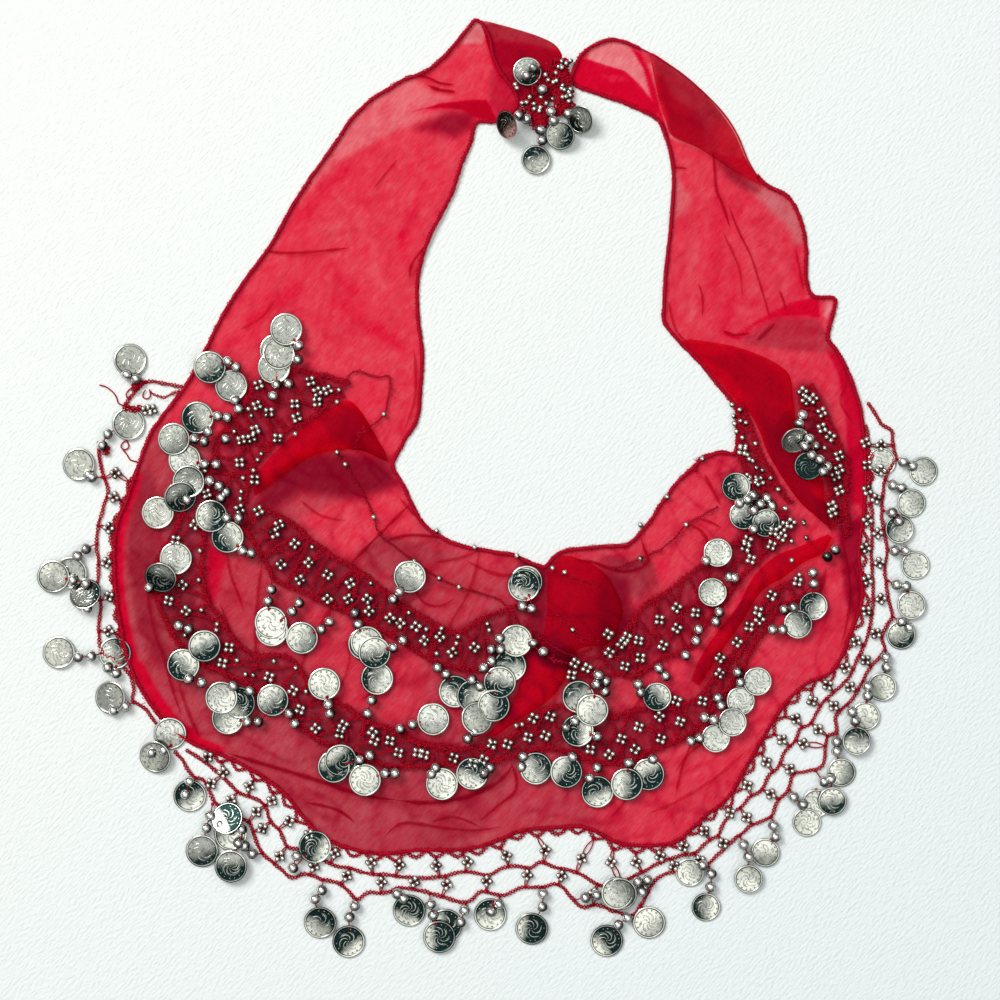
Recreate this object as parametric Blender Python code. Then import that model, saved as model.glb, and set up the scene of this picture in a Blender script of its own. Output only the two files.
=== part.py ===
"""Belly dance hip scarf: a crescent of sheer chiffon laid down as a ring, its tie ends meeting at the top.

Three crocheted borders carry seed beads and coin drops. The outer one is a net beyond the hem, and
the other two are lace bands that lie on the cloth. Sizes are millimetres until a point becomes a vertex.
X runs to the right, Y to the tie ends, and Z = 0 is the surface that the scarf lies on.
"""

from collections import namedtuple
from math import cos, hypot, pi, radians, sin

import bmesh
import bpy
from mathutils import Vector
from mathutils.bvhtree import BVHTree

MM = 0.001

# Driving sizes, in millimetres.
CLOTH = 1.2            # wall of one layer of cloth
SEAM = 0.3             # clearance between pieces that touch
PLIES = 2.2            # rim of a fold, two layers high
STEPS = 2              # lofted stretches between two rows of a table
CHAIN = 1.7            # width of a crocheted chain
NET_WALL = 1.5         # height of the outer net
LACE_WALL = 1.2        # height of the lace bands
RUNG = 3.4             # width of the beaded threads between two chains
CLUSTER = 4.8          # a cluster of four seed beads
COIN_RADIUS = 9.4
COIN_WALL = 1.0
BEAD = 5.8             # large bead
BEAD_STEP = 6.6        # from one large bead to the next
CLEAR_OF_CHAIN = 4.6   # the nearest that a large bead comes to its chain
LINK = 1.4             # thread between beads
STACK = 1.7            # one coin laid over another
SMALLEST_GAP = 14.0    # square millimetres; a tighter gap in the lace stays filled

Section = namedtuple("Section", "inner_x inner_y outer_x outer_y")
Fold = namedtuple("Fold", "left_x left_y right_x right_y crown")
Crease = namedtuple("Crease", "start_x start_y end_x end_y width height")
Band = namedtuple("Band", "upper_x upper_y lower_x lower_y")
Place = namedtuple("Place", "x y")
Drop = namedtuple("Drop", "root_x root_y coin_x coin_y layer")

# The cloth from the left tie's tip to the right one: waist edge, then hem.
TIE_LEFT = [
    Section(-4.5, 270.5, -8, 271.5),
    Section(0.5, 261.5, -17.5, 259.5),
    Section(2.5, 251.5, -28, 248),
    Section(7, 241.5, -37.5, 241),
    Section(15, 230, -48.5, 237),
    Section(16, 220.5, -58.5, 231),
    Section(5, 213, -67, 226),
    Section(-7, 212, -73.5, 220),
    Section(-10.5, 200.5, -80, 213),
    Section(-15.5, 189, -91, 196.5),
    Section(-21, 172, -102.5, 180.5),
    Section(-28, 158, -113.5, 163.5),
    Section(-35.5, 143, -126, 141),
    Section(-41, 122.5, -141, 120.5),
    Section(-41, 100, -154, 100),
    Section(-38.5, 78, -165, 78),
    Section(-39.5, 58.5, -176, 58.5),
    Section(-41.5, 40.5, -189, 41.5),
    Section(-49, 27.5, -196.5, 30),
]
BODY = [
    Section(-55.5, 14, -204, 9.5),
    Section(-52.5, 6.5, -209.5, -6.5),
    Section(-49, 1, -216, -25),
    Section(-45, -8.5, -216.5, -53),
    Section(-39, -19, -213.5, -77),
    Section(-33, -25, -209, -99),
    Section(-27.5, -28, -200.5, -117.5),
    Section(-22.5, -31, -187, -136),
    Section(-16.5, -33, -172.5, -147),
    Section(-10.5, -34.5, -154, -154.5),
    Section(-5, -35.5, -135.5, -164),
    Section(-1, -36, -118.5, -176.5),
    Section(3, -37, -107.5, -190),
    Section(7, -37.5, -95, -202.5),
    Section(11.5, -38, -74.5, -210),
    Section(15.5, -39, -57, -211.5),
    Section(19.5, -41, -40.5, -209.5),
    Section(24, -43, -13, -209),
    Section(29.5, -45, 5, -204),
    Section(33.5, -45, 18.5, -198.5),
    Section(38.5, -39.5, 38, -196.5),
    Section(45, -36, 57, -196.5),
    Section(54, -35, 78, -206),
    Section(64.5, -34, 103.5, -206),
    Section(72, -33.5, 113.5, -201),
    Section(79, -33, 126.5, -189),
    Section(84.5, -30, 139, -179),
    Section(88, -26, 149.5, -161),
    Section(91.5, -22, 158, -146.5),
    Section(95, -17.5, 167, -131.5),
    Section(97.5, -13, 176, -120),
    Section(100.5, -8.5, 186, -112),
    Section(104, -4, 197, -107.5),
    Section(107.5, 1, 204.5, -97.5),
    Section(111.5, 5.5, 209.5, -84.5),
    Section(117, 10.5, 216.5, -64.5),
    Section(123, 16, 215.5, -48),
    Section(129.5, 19.5, 214.5, -37),
    Section(135.5, 21, 218, -9),
    Section(143, 20.5, 218.5, 14),
]
TIE_RIGHT = [
    Section(144.5, 34, 217, 34),
    Section(144.5, 45.5, 215.5, 45.5),
    Section(140, 52, 213, 54),
    Section(132.5, 61, 209.5, 64.5),
    Section(125, 70.5, 205.5, 73.5),
    Section(117, 79, 200.5, 81.5),
    Section(110.5, 85.5, 196.5, 87.5),
    Section(102, 96.5, 199, 99),
    Section(102, 106.5, 200.5, 110),
    Section(102, 111.5, 188, 111.5),
    Section(103, 126, 184, 122.5),
    Section(104.5, 140, 184, 139.5),
    Section(106, 154, 181, 155),
    Section(107, 167.5, 173.5, 169),
    Section(107.5, 179.5, 160, 176.5),
    Section(106.5, 190.5, 151, 189),
    Section(104, 200.5, 144.5, 204.5),
    Section(98.5, 213.5, 134.5, 219.5),
    Section(86, 220.5, 117, 236.5),
    Section(76.5, 224.5, 102.5, 247),
    Section(67.5, 227.5, 88, 255),
    Section(59, 230.5, 71.5, 260),
    Section(51, 233.5, 57.5, 254.5),
    Section(47.5, 237.5, 51.5, 247.5),
]

# Cloth folded over on itself, and how far each fold rises above its rim.
TIE_LEFT_TURN = [
    Fold(-2.5, 269, 1, 270, crown=0.3),
    Fold(1, 263.5, 14, 267, crown=1),
    Fold(3, 256.5, 27, 263, crown=1.4),
    Fold(5.5, 250.5, 36, 258.5, crown=1.6),
    Fold(9, 244, 41.5, 252.5, crown=1.6),
    Fold(13, 237.5, 38, 247, crown=1.4),
    Fold(17.5, 231.5, 31.5, 238.5, crown=1),
    Fold(22, 228, 26.5, 231, crown=0.3),
]
TIE_RIGHT_TURN = [
    Fold(93, 251, 95.5, 252, crown=0.3),
    Fold(95, 242.5, 106.5, 244.5, crown=0.8),
    Fold(97, 232.5, 119, 234.5, crown=1.2),
    Fold(100, 220.5, 132, 220.5, crown=1.6),
    Fold(103, 211.5, 142, 206, crown=1.6),
    Fold(106.5, 204, 149, 190.5, crown=1.3),
    Fold(122.5, 196.5, 155.5, 181, crown=0.9),
    Fold(140.5, 184.5, 158, 175, crown=0.3),
]
FOLD_LEFT = [
    Fold(-137, 6, -135.5, -4.5, crown=0.6),
    Fold(-125.5, 19, -126.5, 2, crown=2.2),
    Fold(-111, 33, -114, 12, crown=4),
    Fold(-93, 45.5, -99, 20, crown=5.5),
    Fold(-82, 51, -84.5, 22.5, crown=6),
    Fold(-74.5, 45.5, -73.5, 22, crown=5.5),
    Fold(-67, 33.5, -65, 18.5, crown=3.5),
    Fold(-59.5, 20.5, -58.5, 15.5, crown=0.8),
]
FOLD_CENTRE = [
    Fold(42, -39, 48, -39, crown=0.8),
    Fold(35, -47.5, 63, -45.5, crown=3),
    Fold(34, -56, 71.5, -55.5, crown=5.5),
    Fold(34, -68, 77, -68, crown=7),
    Fold(33, -77, 75.5, -79, crown=7),
    Fold(31.5, -85.5, 68.5, -89.5, crown=6),
    Fold(26, -95, 51.5, -94, crown=5),
    Fold(19.5, -109.5, 44, -110.5, crown=4),
    Fold(15, -122.5, 35, -122.5, crown=3),
    Fold(6.5, -135.5, 20, -132.5, crown=2),
    Fold(-2, -143.5, 4, -143.5, crown=0.6),
]
FOLD_RIGHT = [
    Fold(112, 85.5, 117, 86.5, crown=0.4),
    Fold(126, 71, 147, 81, crown=1.4),
    Fold(142, 52, 172, 68.5, crown=2),
    Fold(150.5, 44.5, 176.5, 51.5, crown=2.4),
    Fold(156.5, 34, 178.5, 35, crown=2.6),
    Fold(162, 20, 184, 21, crown=2.6),
    Fold(171, 5, 193, 7, crown=2.6),
    Fold(180.5, -8, 194.5, -6.5, crown=2.6),
    Fold(189.5, -16, 197, -16.5, crown=2.2),
    Fold(194.5, -20.5, 198, -23, crown=0.8),
]
FOLD_RIGHT_RETURN = [
    Fold(196.5, -26.5, 199, -28.5, crown=0.8),
    Fold(187.5, -30.5, 193.5, -37.5, crown=2.6),
    Fold(179, -34, 182.5, -43, crown=2.8),
    Fold(167.5, -38.5, 171, -51.5, crown=2.6),
    Fold(157.5, -46.5, 160.5, -57.5, crown=2.4),
    Fold(151, -55.5, 153, -66.5, crown=2.2),
    Fold(144.5, -68, 147.5, -76.5, crown=2),
    Fold(132, -84, 137, -91.5, crown=1.8),
    Fold(123, -97.5, 129.5, -103, crown=1.4),
    Fold(117.5, -111, 122, -114.5, crown=0.5),
]

# The soft creases that stand up from the cloth.
CREASES = [
    Crease(-196, -33, -188, -123, width=7, height=1.4),
    Crease(-184, -104, -159, -147, width=6, height=1.2),
    Crease(-159, -44, -144, -94, width=7, height=1.4),
    Crease(-131, -60, -135, -106, width=6, height=1.2),
    Crease(-108, -65, -87, -117, width=8, height=1.2),
    Crease(-147, -153, -83, -176, width=8, height=1.8),
    Crease(-83, -176, -15, -178, width=8, height=1.8),
    Crease(-60, -199, 4, -199, width=6, height=1),
    Crease(14, -153, -4, -192, width=7, height=1.6),
    Crease(88, -178, 67, -210, width=7, height=1.2),
    Crease(117, -149, 110, -166, width=6, height=1.2),
    Crease(149, -153, 94, -188, width=9, height=1.4),
    Crease(181, -88, 163, -123, width=7, height=1.2),
    Crease(201, -59, 181, -117, width=9, height=1.2),
    Crease(211, 63, 213, 22, width=6, height=1.4),
    Crease(-83, -41, -46, -7, width=6, height=1.4),
    Crease(-28, -88, -8, -37, width=6, height=1.2),
    Crease(88, -30, 94, -50, width=5, height=1),
    Crease(-28, 159, -79, 73, width=9, height=1.6),
    Crease(-11, 196, -48, 131, width=7, height=1.4),
    Crease(-79, 179, -118, 109, width=8, height=1.4),
    Crease(-109, 147, -141, 83, width=8, height=1.2),
    Crease(-34, 240, -54, 191, width=7, height=1.4),
    Crease(190, 109, 140, 87, width=6, height=1.8),
    Crease(135, 176, 125, 105, width=8, height=1.4),
    Crease(160, 167, 149, 106, width=8, height=1.4),
    Crease(118, 180, 113, 109, width=6, height=1.2),
    Crease(88, 240, 123, 196, width=7, height=1.2),
    Crease(65, 243, 94, 225, width=5, height=1.2),
    Crease(-46, -41, -92, -88, width=7, height=1.2),
    Crease(123, -18, 88, -33, width=5, height=1),
    Crease(-51, -123, -80, -157, width=7, height=1),
]

# Lace bands on the cloth, across from their upper to their lower chain.
LACE_UPPER_LEFT = [
    Band(-80.5, 60, -84.5, 55.5),
    Band(-93, 64, -99, 46),
    Band(-107, 68, -113, 37),
    Band(-122, 66.5, -125.5, 25),
    Band(-135, 60.5, -135.5, 15),
    Band(-144, 44.5, -139, 8.5),
    Band(-154, 30.5, -140, 2.5),
    Band(-158.5, 15.5, -140.5, -2),
    Band(-162, -0.5, -142, -7),
]
LACE_UPPER_MIDDLE = [
    Band(-131.5, -8.5, -149, -18.5),
    Band(-118, -17, -133.5, -34.5),
    Band(-103.5, -30, -124, -51),
    Band(-89, -39.5, -106.5, -60),
    Band(-74.5, -49, -90, -68),
    Band(-60, -59.5, -74.5, -75.5),
    Band(-45.5, -68.5, -58.5, -82.5),
    Band(-31, -78.5, -43, -91.5),
    Band(-17.5, -83, -28, -100.5),
    Band(-4, -75, -12, -104),
    Band(9.5, -69.5, 4, -99.5),
    Band(22, -66.5, 18.5, -88),
]
LACE_UPPER_RIGHT = [
    Band(64.5, -97, 56, -117),
    Band(78.5, -83, 71.5, -106.5),
    Band(85.5, -73, 85.5, -107),
    Band(95, -64.5, 100.5, -99.5),
    Band(106.5, -57.5, 116.5, -91.5),
    Band(118, -48.5, 126, -77.5),
    Band(129.5, -41.5, 139, -63.5),
    Band(143, -30, 148, -48.5),
    Band(156.5, -20, 159, -38),
    Band(172, -15, 174.5, -28.5),
]
LACE_TIE_INNER = [
    Band(142, 48.5, 146.5, 47.5),
    Band(145.5, 35, 153, 34),
    Band(144.5, 22.5, 158, 20),
    Band(150.5, 10.5, 166, 5),
    Band(160, -2, 176, -8.5),
]
LACE_TIE_OUTER = [
    Band(182.5, 59.5, 186, 60),
    Band(180.5, 48.5, 193.5, 48.5),
    Band(181, 34, 201.5, 29.5),
    Band(187.5, 22.5, 207.5, 15.5),
    Band(197, 8.5, 208.5, 1.5),
    Band(197.5, -6.5, 208.5, -11.5),
    Band(200, -23, 207.5, -27),
]
LACE_LOWER = [
    Band(-164.5, -14, -176, -14),
    Band(-165, -34.5, -187, -33.5),
    Band(-165.5, -55, -194.5, -56),
    Band(-160.5, -70.5, -190.5, -70.5),
    Band(-149, -84.5, -181, -88),
    Band(-136, -95.5, -165, -100.5),
    Band(-118, -97.5, -152, -107.5),
    Band(-107.5, -107.5, -135, -117),
    Band(-102, -117, -118, -129),
    Band(-89, -125.5, -103, -143),
    Band(-74, -133, -83, -151),
    Band(-58.5, -138, -66, -158.5),
    Band(-41, -147, -45, -161),
    Band(-23.5, -149.5, -27.5, -159),
    Band(-5, -149.5, -8.5, -162),
    Band(11.5, -143.5, 11.5, -155.5),
    Band(26, -133.5, 28.5, -150.5),
    Band(39.5, -126, 42.5, -151),
    Band(59, -131, 56.5, -157.5),
    Band(73.5, -131, 71, -160),
    Band(88, -127.5, 88.5, -155.5),
    Band(103.5, -126, 108.5, -146.5),
    Band(121, -122.5, 126, -134.5),
    Band(127.5, -113.5, 134.5, -120.5),
    Band(133, -104, 143.5, -106.5),
    Band(142, -94, 151.5, -93.5),
    Band(151, -81, 160.5, -81),
    Band(156.5, -70, 166, -71.5),
    Band(165, -62, 175, -66),
    Band(175, -54, 183, -60),
]
KNOT = [
    Band(37.5, 246, 45, 247.5),
    Band(35, 240.5, 46.5, 240.5),
    Band(33.5, 234.5, 47.5, 233.5),
    Band(28.5, 230, 46.5, 227),
    Band(25, 225.5, 45, 222),
    Band(26, 219.5, 37.5, 219.5),
    Band(26.5, 215, 32, 214.5),
    Band(27.5, 210, 30, 210),
]

# The outer border: its middle and outermost chains, and the bead clusters that hold them apart.
MIDDLE_CHAIN = [
    Place(-175.5, -151.5), Place(-164.5, -158.5), Place(-152, -169), Place(-145.5, -176), Place(-137, -179),
    Place(-129.5, -184), Place(-126.5, -193), Place(-120.5, -199), Place(-117, -207.5), Place(-108.5, -209),
    Place(-99.5, -213.5), Place(-89, -218.5), Place(-80.5, -220), Place(-71, -223), Place(-54, -224.5),
    Place(-39, -226), Place(-25, -224.5), Place(-13.5, -222), Place(-0.5, -224), Place(8, -220),
    Place(15, -219), Place(24, -220), Place(30, -216.5), Place(39, -219.5), Place(51, -222.5),
    Place(59, -227), Place(67.5, -230.5), Place(76.5, -228), Place(84.5, -224.5), Place(93.5, -220),
    Place(102.5, -215.5), Place(112, -212.5), Place(119, -211.5), Place(126.5, -205), Place(133, -201),
    Place(136.5, -193.5), Place(142, -187.5), Place(147, -184.5), Place(150.5, -179.5), Place(158.5, -174.5),
    Place(162, -167), Place(168, -161.5), Place(171.5, -153), Place(178, -146), Place(180.5, -139),
    Place(187, -136), Place(192.5, -126), Place(200, -118), Place(209, -109.5), Place(213.5, -99.5),
    Place(219, -88), Place(222, -75), Place(223, -64.5), Place(222.5, -50), Place(222, -38),
    Place(222.5, -20), Place(221.5, -2), Place(220.5, 13.5), Place(220, 28), Place(219, 37),
]
OUTER_CHAIN = [
    Place(-182, -152), Place(-176.5, -159), Place(-171, -167), Place(-165, -169), Place(-161.5, -176.5),
    Place(-157, -183.5), Place(-147.5, -186), Place(-143, -191), Place(-138, -194.5), Place(-135, -204),
    Place(-130, -212.5), Place(-122, -219), Place(-114.5, -225.5), Place(-106, -223.5), Place(-96.5, -226.5),
    Place(-85.5, -229.5), Place(-76.5, -238), Place(-70, -234), Place(-60, -234.5), Place(-51.5, -231.5),
    Place(-41.5, -232.5), Place(-27, -236.5), Place(-13, -240), Place(-4, -233.5), Place(8.5, -236),
    Place(18.5, -231.5), Place(30.5, -231), Place(40.5, -229.5), Place(48.5, -237.5), Place(54, -242.5),
    Place(63.5, -241.5), Place(73, -245), Place(84, -247), Place(91, -237), Place(96.5, -227.5),
    Place(103, -223), Place(115.5, -222), Place(125, -220), Place(129.5, -215.5), Place(136, -209.5),
    Place(144, -202), Place(153, -195), Place(164, -190), Place(167, -182), Place(173.5, -175),
    Place(177, -165.5), Place(187.5, -163.5), Place(194, -160), Place(195, -151.5), Place(196.5, -143.5),
    Place(202, -141), Place(201, -132.5), Place(207, -125.5), Place(212, -121), Place(216.5, -112),
    Place(221.5, -103.5), Place(229.5, -94), Place(228, -87.5), Place(230, -80.5), Place(234, -74),
    Place(231.5, -63), Place(230, -51.5), Place(230, -44.5), Place(231, -35.5), Place(229, -24),
    Place(228, -12.5), Place(229.5, 4), Place(233.5, 13), Place(236, 17.5), Place(234.5, 25),
    Place(233.5, 33.5), Place(227.5, 37.5), Place(223.5, 44.5), Place(220, 50),
]
OUTER_CHAIN_LEFT = [
    Place(-226, 27.5), Place(-225.5, 19.5), Place(-223.5, 8.5), Place(-220.5, -2), Place(-224, -13.5),
    Place(-226.5, -24), Place(-227.5, -33), Place(-226, -41.5), Place(-226.5, -52), Place(-227, -59),
    Place(-224.5, -67.5), Place(-226, -79), Place(-224.5, -94), Place(-216, -99.5), Place(-209, -106.5),
    Place(-205.5, -115.5), Place(-206, -123), Place(-199, -127.5), Place(-193, -135.5), Place(-186.5, -143.5),
    Place(-183.5, -149),
]
OUTER_CHAIN_END = [
    Place(-177, 59), Place(-183.5, 60), Place(-189.5, 61), Place(-197, 62), Place(-203.5, 57.5),
    Place(-207.5, 53), Place(-211, 48.5),
]
INNER_CLUSTERS = [
    Place(-162.5, -155.5), Place(-153.5, -164.5), Place(-138.5, -172.5), Place(-125.5, -181), Place(-115.5, -193),
    Place(-104, -200.5), Place(-89, -211.5), Place(-68, -217), Place(-51.5, -218), Place(-30.5, -218.5),
    Place(-12, -216.5), Place(10.5, -213), Place(33, -209.5), Place(54, -214.5), Place(71, -216.5),
    Place(85.5, -216.5), Place(99.5, -213), Place(113, -207.5), Place(125, -198.5), Place(140, -188),
    Place(150, -172), Place(161, -158.5), Place(170, -145.5), Place(178, -133.5), Place(187.5, -123),
    Place(196.5, -114), Place(207, -104), Place(213, -88.5), Place(219, -71), Place(219.5, -53),
    Place(218.5, -34.5), Place(219.5, -18.5), Place(219.5, -1), Place(219.5, 13.5), Place(218.5, 26.5),
]
OUTER_CLUSTERS = [
    Place(-160.5, -171), Place(-149, -180.5), Place(-134.5, -187.5), Place(-131, -197), Place(-121, -213),
    Place(-101, -219), Place(-82, -224.5), Place(-62, -228), Place(-43, -228), Place(-24, -229.5),
    Place(-1, -227.5), Place(22.5, -224), Place(42.5, -224.5), Place(61, -234.5), Place(89, -232.5),
    Place(107.5, -218.5), Place(122.5, -215.5), Place(136, -205.5), Place(149.5, -190.5), Place(163.5, -177),
    Place(174.5, -162.5), Place(182.5, -148), Place(191, -139.5), Place(200, -126), Place(209.5, -115),
    Place(218.5, -99.5), Place(224.5, -84), Place(227.5, -64), Place(226.5, -43), Place(225.5, -26),
    Place(224.5, -6), Place(227.5, 10.5), Place(227.5, 25),
]
LEFT_CLUSTERS = [
    Place(-216, 9), Place(-217, -5), Place(-220, -23), Place(-221.5, -43), Place(-220, -62.5),
    Place(-220, -82.5),
]
WAIST_CHAIN = [
    Place(-88.5, 20), Place(-83, 14), Place(-78.5, 7), Place(-71.5, -5), Place(-66.5, -17),
    Place(-63, -26.5), Place(-56, -32), Place(-49, -37.5), Place(-42, -43), Place(-35, -48),
    Place(-28, -52), Place(-21, -56), Place(-12, -59), Place(1, -62.5), Place(6, -64.5),
]

# Coin drops: where each leaves its chain, its coin's centre, and how many coins it lies on.
DROPS = {
    "fringe_left_end": [
        Drop(-198.5, 62, -207.5, 74.5, layer=0),
    ],
    "fringe_left": [
        Drop(-224.5, 23, -208.5, 37.5, layer=0),
        Drop(-224, 6.5, -237.5, 14, layer=0),
        Drop(-227, -32, -242, -49, layer=0),
        Drop(-227, -57, -252, -51, layer=1),
        Drop(-224.5, -95.5, -249, -95, layer=0),
        Drop(-206, -124, -219, -121, layer=0),
        Drop(-184, -149, -193, -155.5, layer=0),
    ],
    "fringe_bottom": [
        Drop(-169.5, -168, -173, -178, layer=0),
        Drop(-160, -183, -166, -210, layer=0),
        Drop(-149, -185.5, -151, -219, layer=2),
        Drop(-131.5, -211.5, -149.5, -200.5, layer=0),
        Drop(-96, -227, -97.5, -251.5, layer=0),
        Drop(-76.5, -238.5, -81, -262.5, layer=0),
        Drop(-53, -233, -46, -244.5, layer=0),
        Drop(-34, -235, -28.5, -259.5, layer=1),
        Drop(-13, -240.5, -24.5, -253, layer=0),
        Drop(6.5, -236.5, 1, -247, layer=0),
        Drop(30.5, -231.5, 25, -255, layer=0),
        Drop(49.5, -238, 74.5, -234, layer=2),
        Drop(83, -247.5, 68.5, -262, layer=0),
        Drop(88, -241.5, 95.5, -252, layer=0),
        Drop(127.5, -219, 126, -242.5, layer=0),
        Drop(145.5, -201.5, 150.5, -226, layer=1),
        Drop(164, -190.5, 160.5, -211, layer=0),
        Drop(174.5, -174.5, 184.5, -193.5, layer=0),
        Drop(189.5, -163.5, 199, -181, layer=1),
        Drop(202, -142, 204.5, -164.5, layer=0),
        Drop(207.5, -125, 216, -145.5, layer=2),
        Drop(217, -111.5, 218.5, -132, layer=0),
        Drop(230, -94, 230.5, -115, layer=0),
        Drop(234.5, -74.5, 239, -85, layer=0),
        Drop(231.5, -53.5, 245, -67.5, layer=1),
        Drop(231.5, -35.5, 247.5, -44.5, layer=0),
        Drop(229, -13, 238, -23.5, layer=1),
        Drop(230, 5.5, 245, -8.5, layer=0),
        Drop(236.5, 17, 252, 10, layer=0),
    ],
    "knot_fringe": [
        Drop(34.5, 232.5, 22.5, 241, layer=0),
        Drop(26, 218.5, 10.5, 209.5, layer=1),
        Drop(28.5, 209.5, 27.5, 190.5, layer=0),
        Drop(35, 219.5, 41.5, 204, layer=1),
        Drop(44.5, 222, 53, 213, layer=0),
    ],
    "lace_upper_left": [
        Drop(-110.5, 68, -117, 92, layer=1),
        Drop(-123, 66.5, -123, 80, layer=0),
        Drop(-136, 59.5, -161, 70, layer=2),
        Drop(-143.5, 45.5, -149, 59.5, layer=0),
        Drop(-148, 38.5, -168.5, 41, layer=0),
        Drop(-155, 27.5, -182, 28.5, layer=1),
        Drop(-159, 13.5, -176, 16.5, layer=0),
        Drop(-161.5, 1, -173.5, 4, layer=1),
    ],
    "lace_upper_middle": [
        Drop(-146.5, -17.5, -161.5, -13.5, layer=2),
        Drop(-131.5, -38.5, -152, -30, layer=1),
        Drop(-125.5, -47.5, -126, -77.5, layer=0),
        Drop(-92, -67.5, -108, -86.5, layer=0),
        Drop(-74.5, -76.5, -72, -90, layer=0),
        Drop(-44.5, -91, -66, -95, layer=1),
        Drop(-55.5, -62.5, -45.5, -51, layer=1),
        Drop(-30.5, -99, -19.5, -117.5, layer=0),
        Drop(-12, -104.5, -9, -120, layer=1),
        Drop(2, -100, 6.5, -112, layer=2),
        Drop(20, -66.5, 22, -54, layer=0),
    ],
    "lace_upper_right": [
        Drop(122.5, -45.5, 129.5, -31.5, layer=2),
        Drop(88, -107.5, 97.5, -120.5, layer=1),
        Drop(59, -115.5, 60, -128, layer=2),
    ],
    "lace_tie_inner": [
        Drop(152, 8, 143, 1, layer=2),
        Drop(159, -2.5, 147.5, -15.5, layer=1),
    ],
    "lace_lower": [
        Drop(-179.5, -17, -191.5, -14, layer=0),
        Drop(-165, -101, -178, -106, layer=1),
        Drop(-152, -108, -154.5, -121, layer=1),
        Drop(-124, -126, -151, -133, layer=0),
        Drop(-90, -125, -93, -110.5, layer=1),
        Drop(-67.5, -135, -64.5, -110, layer=0),
        Drop(-48, -143.5, -32, -133.5, layer=0),
        Drop(-87.5, -150, -89.5, -161, layer=0),
        Drop(-53.5, -160.5, -71.5, -168.5, layer=1),
        Drop(-30, -160, -27, -171, layer=0),
        Drop(27.5, -151, 27.5, -162, layer=0),
        Drop(46, -153, 45, -164, layer=1),
        Drop(63.5, -159, 63, -175.5, layer=0),
        Drop(78.5, -158.5, 80, -171, layer=1),
        Drop(94, -154, 92.5, -165.5, layer=0),
        Drop(117.5, -140.5, 131.5, -144.5, layer=0),
        Drop(127.5, -132, 141, -135, layer=2),
        Drop(135.5, -118.5, 146, -123, layer=0),
        Drop(146, -104, 155.5, -111.5, layer=1),
        Drop(163.5, -77.5, 179, -78.5, layer=1),
        Drop(182.5, -60, 188, -68, layer=0),
    ],
}


# ---------------------------------------------------------------- plain geometry

def smooth(rows, steps):
    """The rows of a table with steps - 1 more between each two, on a Catmull-Rom curve."""
    filled = []
    for i in range(len(rows) - 1):
        before = rows[max(i - 1, 0)]
        after = rows[min(i + 2, len(rows) - 1)]
        for k in range(steps):
            t = k / steps
            row = []
            for p, q, r, s in zip(before, rows[i], rows[i + 1], after):
                bend = (2 * p - 5 * q + 4 * r - s) * t * t + (3 * q - p - 3 * r + s) * t ** 3
                row.append(0.5 * (2 * q + (r - p) * t + bend))
            filled.append(tuple(row))
    filled.append(tuple(rows[-1]))
    return filled


def nearest_on_segment(x, y, ax, ay, bx, by):
    """How far along a segment its nearest point is, from 0 to 1, and the distance to it."""
    dx, dy = bx - ax, by - ay
    t = ((x - ax) * dx + (y - ay) * dy) / max(dx * dx + dy * dy, 1e-9)
    t = min(max(t, 0.0), 1.0)
    return t, hypot(x - ax - t * dx, y - ay - t * dy)


def nearest_on_line(x, y, points):
    """Place of the nearest point along a line of points, counted in segments, and its distance."""
    best = (0.0, 1e9)
    for i in range(len(points) - 1):
        t, away = nearest_on_segment(x, y, *points[i], *points[i + 1])
        if away < best[1]:
            best = (i + t, away)
    return best


def point_at(points, place):
    """The point at a place along a line of points."""
    i = min(int(place), len(points) - 2)
    t = place - i
    (ax, ay), (bx, by) = points[i], points[i + 1]
    return (ax + (bx - ax) * t, ay + (by - ay) * t)


def stretch(points, start, end):
    """The part of a line of points between two places on it."""
    inner = [points[i] for i in range(int(start) + 1, int(end) + 1) if start + 0.05 < i < end - 0.05]
    return [point_at(points, start)] + inner + [point_at(points, end)]


def moved_out(points, distance):
    """A line of points moved to its right by a distance."""
    moved = []
    for i, (x, y) in enumerate(points):
        ax, ay = points[max(i - 1, 0)]
        bx, by = points[min(i + 1, len(points) - 1)]
        length = hypot(bx - ax, by - ay)
        moved.append((x + (by - ay) / length * distance, y - (bx - ax) / length * distance))
    return moved


def area(polygon):
    """Signed area of a polygon, positive where it runs anticlockwise."""
    total = 0.0
    for (ax, ay), (bx, by) in zip(polygon, polygon[1:] + polygon[:1]):
        total += ax * by - bx * ay
    return total / 2


# ---------------------------------------------------------------- objects

def material(name, colour, roughness, metallic):
    """A plain Principled finish."""
    made = bpy.data.materials.new(name)
    made.use_nodes = True
    shader = made.node_tree.nodes["Principled BSDF"]
    shader.inputs["Base Color"].default_value = (*colour, 1.0)
    shader.inputs["Roughness"].default_value = roughness
    shader.inputs["Metallic"].default_value = metallic
    return made


def chiffon(name):
    return material(name + "_chiffon", (0.62, 0.02, 0.05), 0.6, 0.0)


def crochet(name):
    return material(name + "_thread", (0.30, 0.005, 0.02), 0.7, 0.0)


def silver(name):
    return material(name + "_silver", (0.75, 0.75, 0.70), 0.25, 1.0)


def add_object(name, bm, finish):
    """One closed solid from a bmesh in millimetres."""
    bmesh.ops.scale(bm, vec=(MM, MM, MM), verts=bm.verts)
    bmesh.ops.recalc_face_normals(bm, faces=bm.faces)
    bmesh.ops.triangulate(bm, faces=bm.faces)
    mesh = bpy.data.meshes.new(name)
    bm.to_mesh(mesh)
    bm.free()
    mesh.materials.append(finish)
    made = bpy.data.objects.new(name, mesh)
    bpy.context.scene.collection.objects.link(made)
    return made


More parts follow.
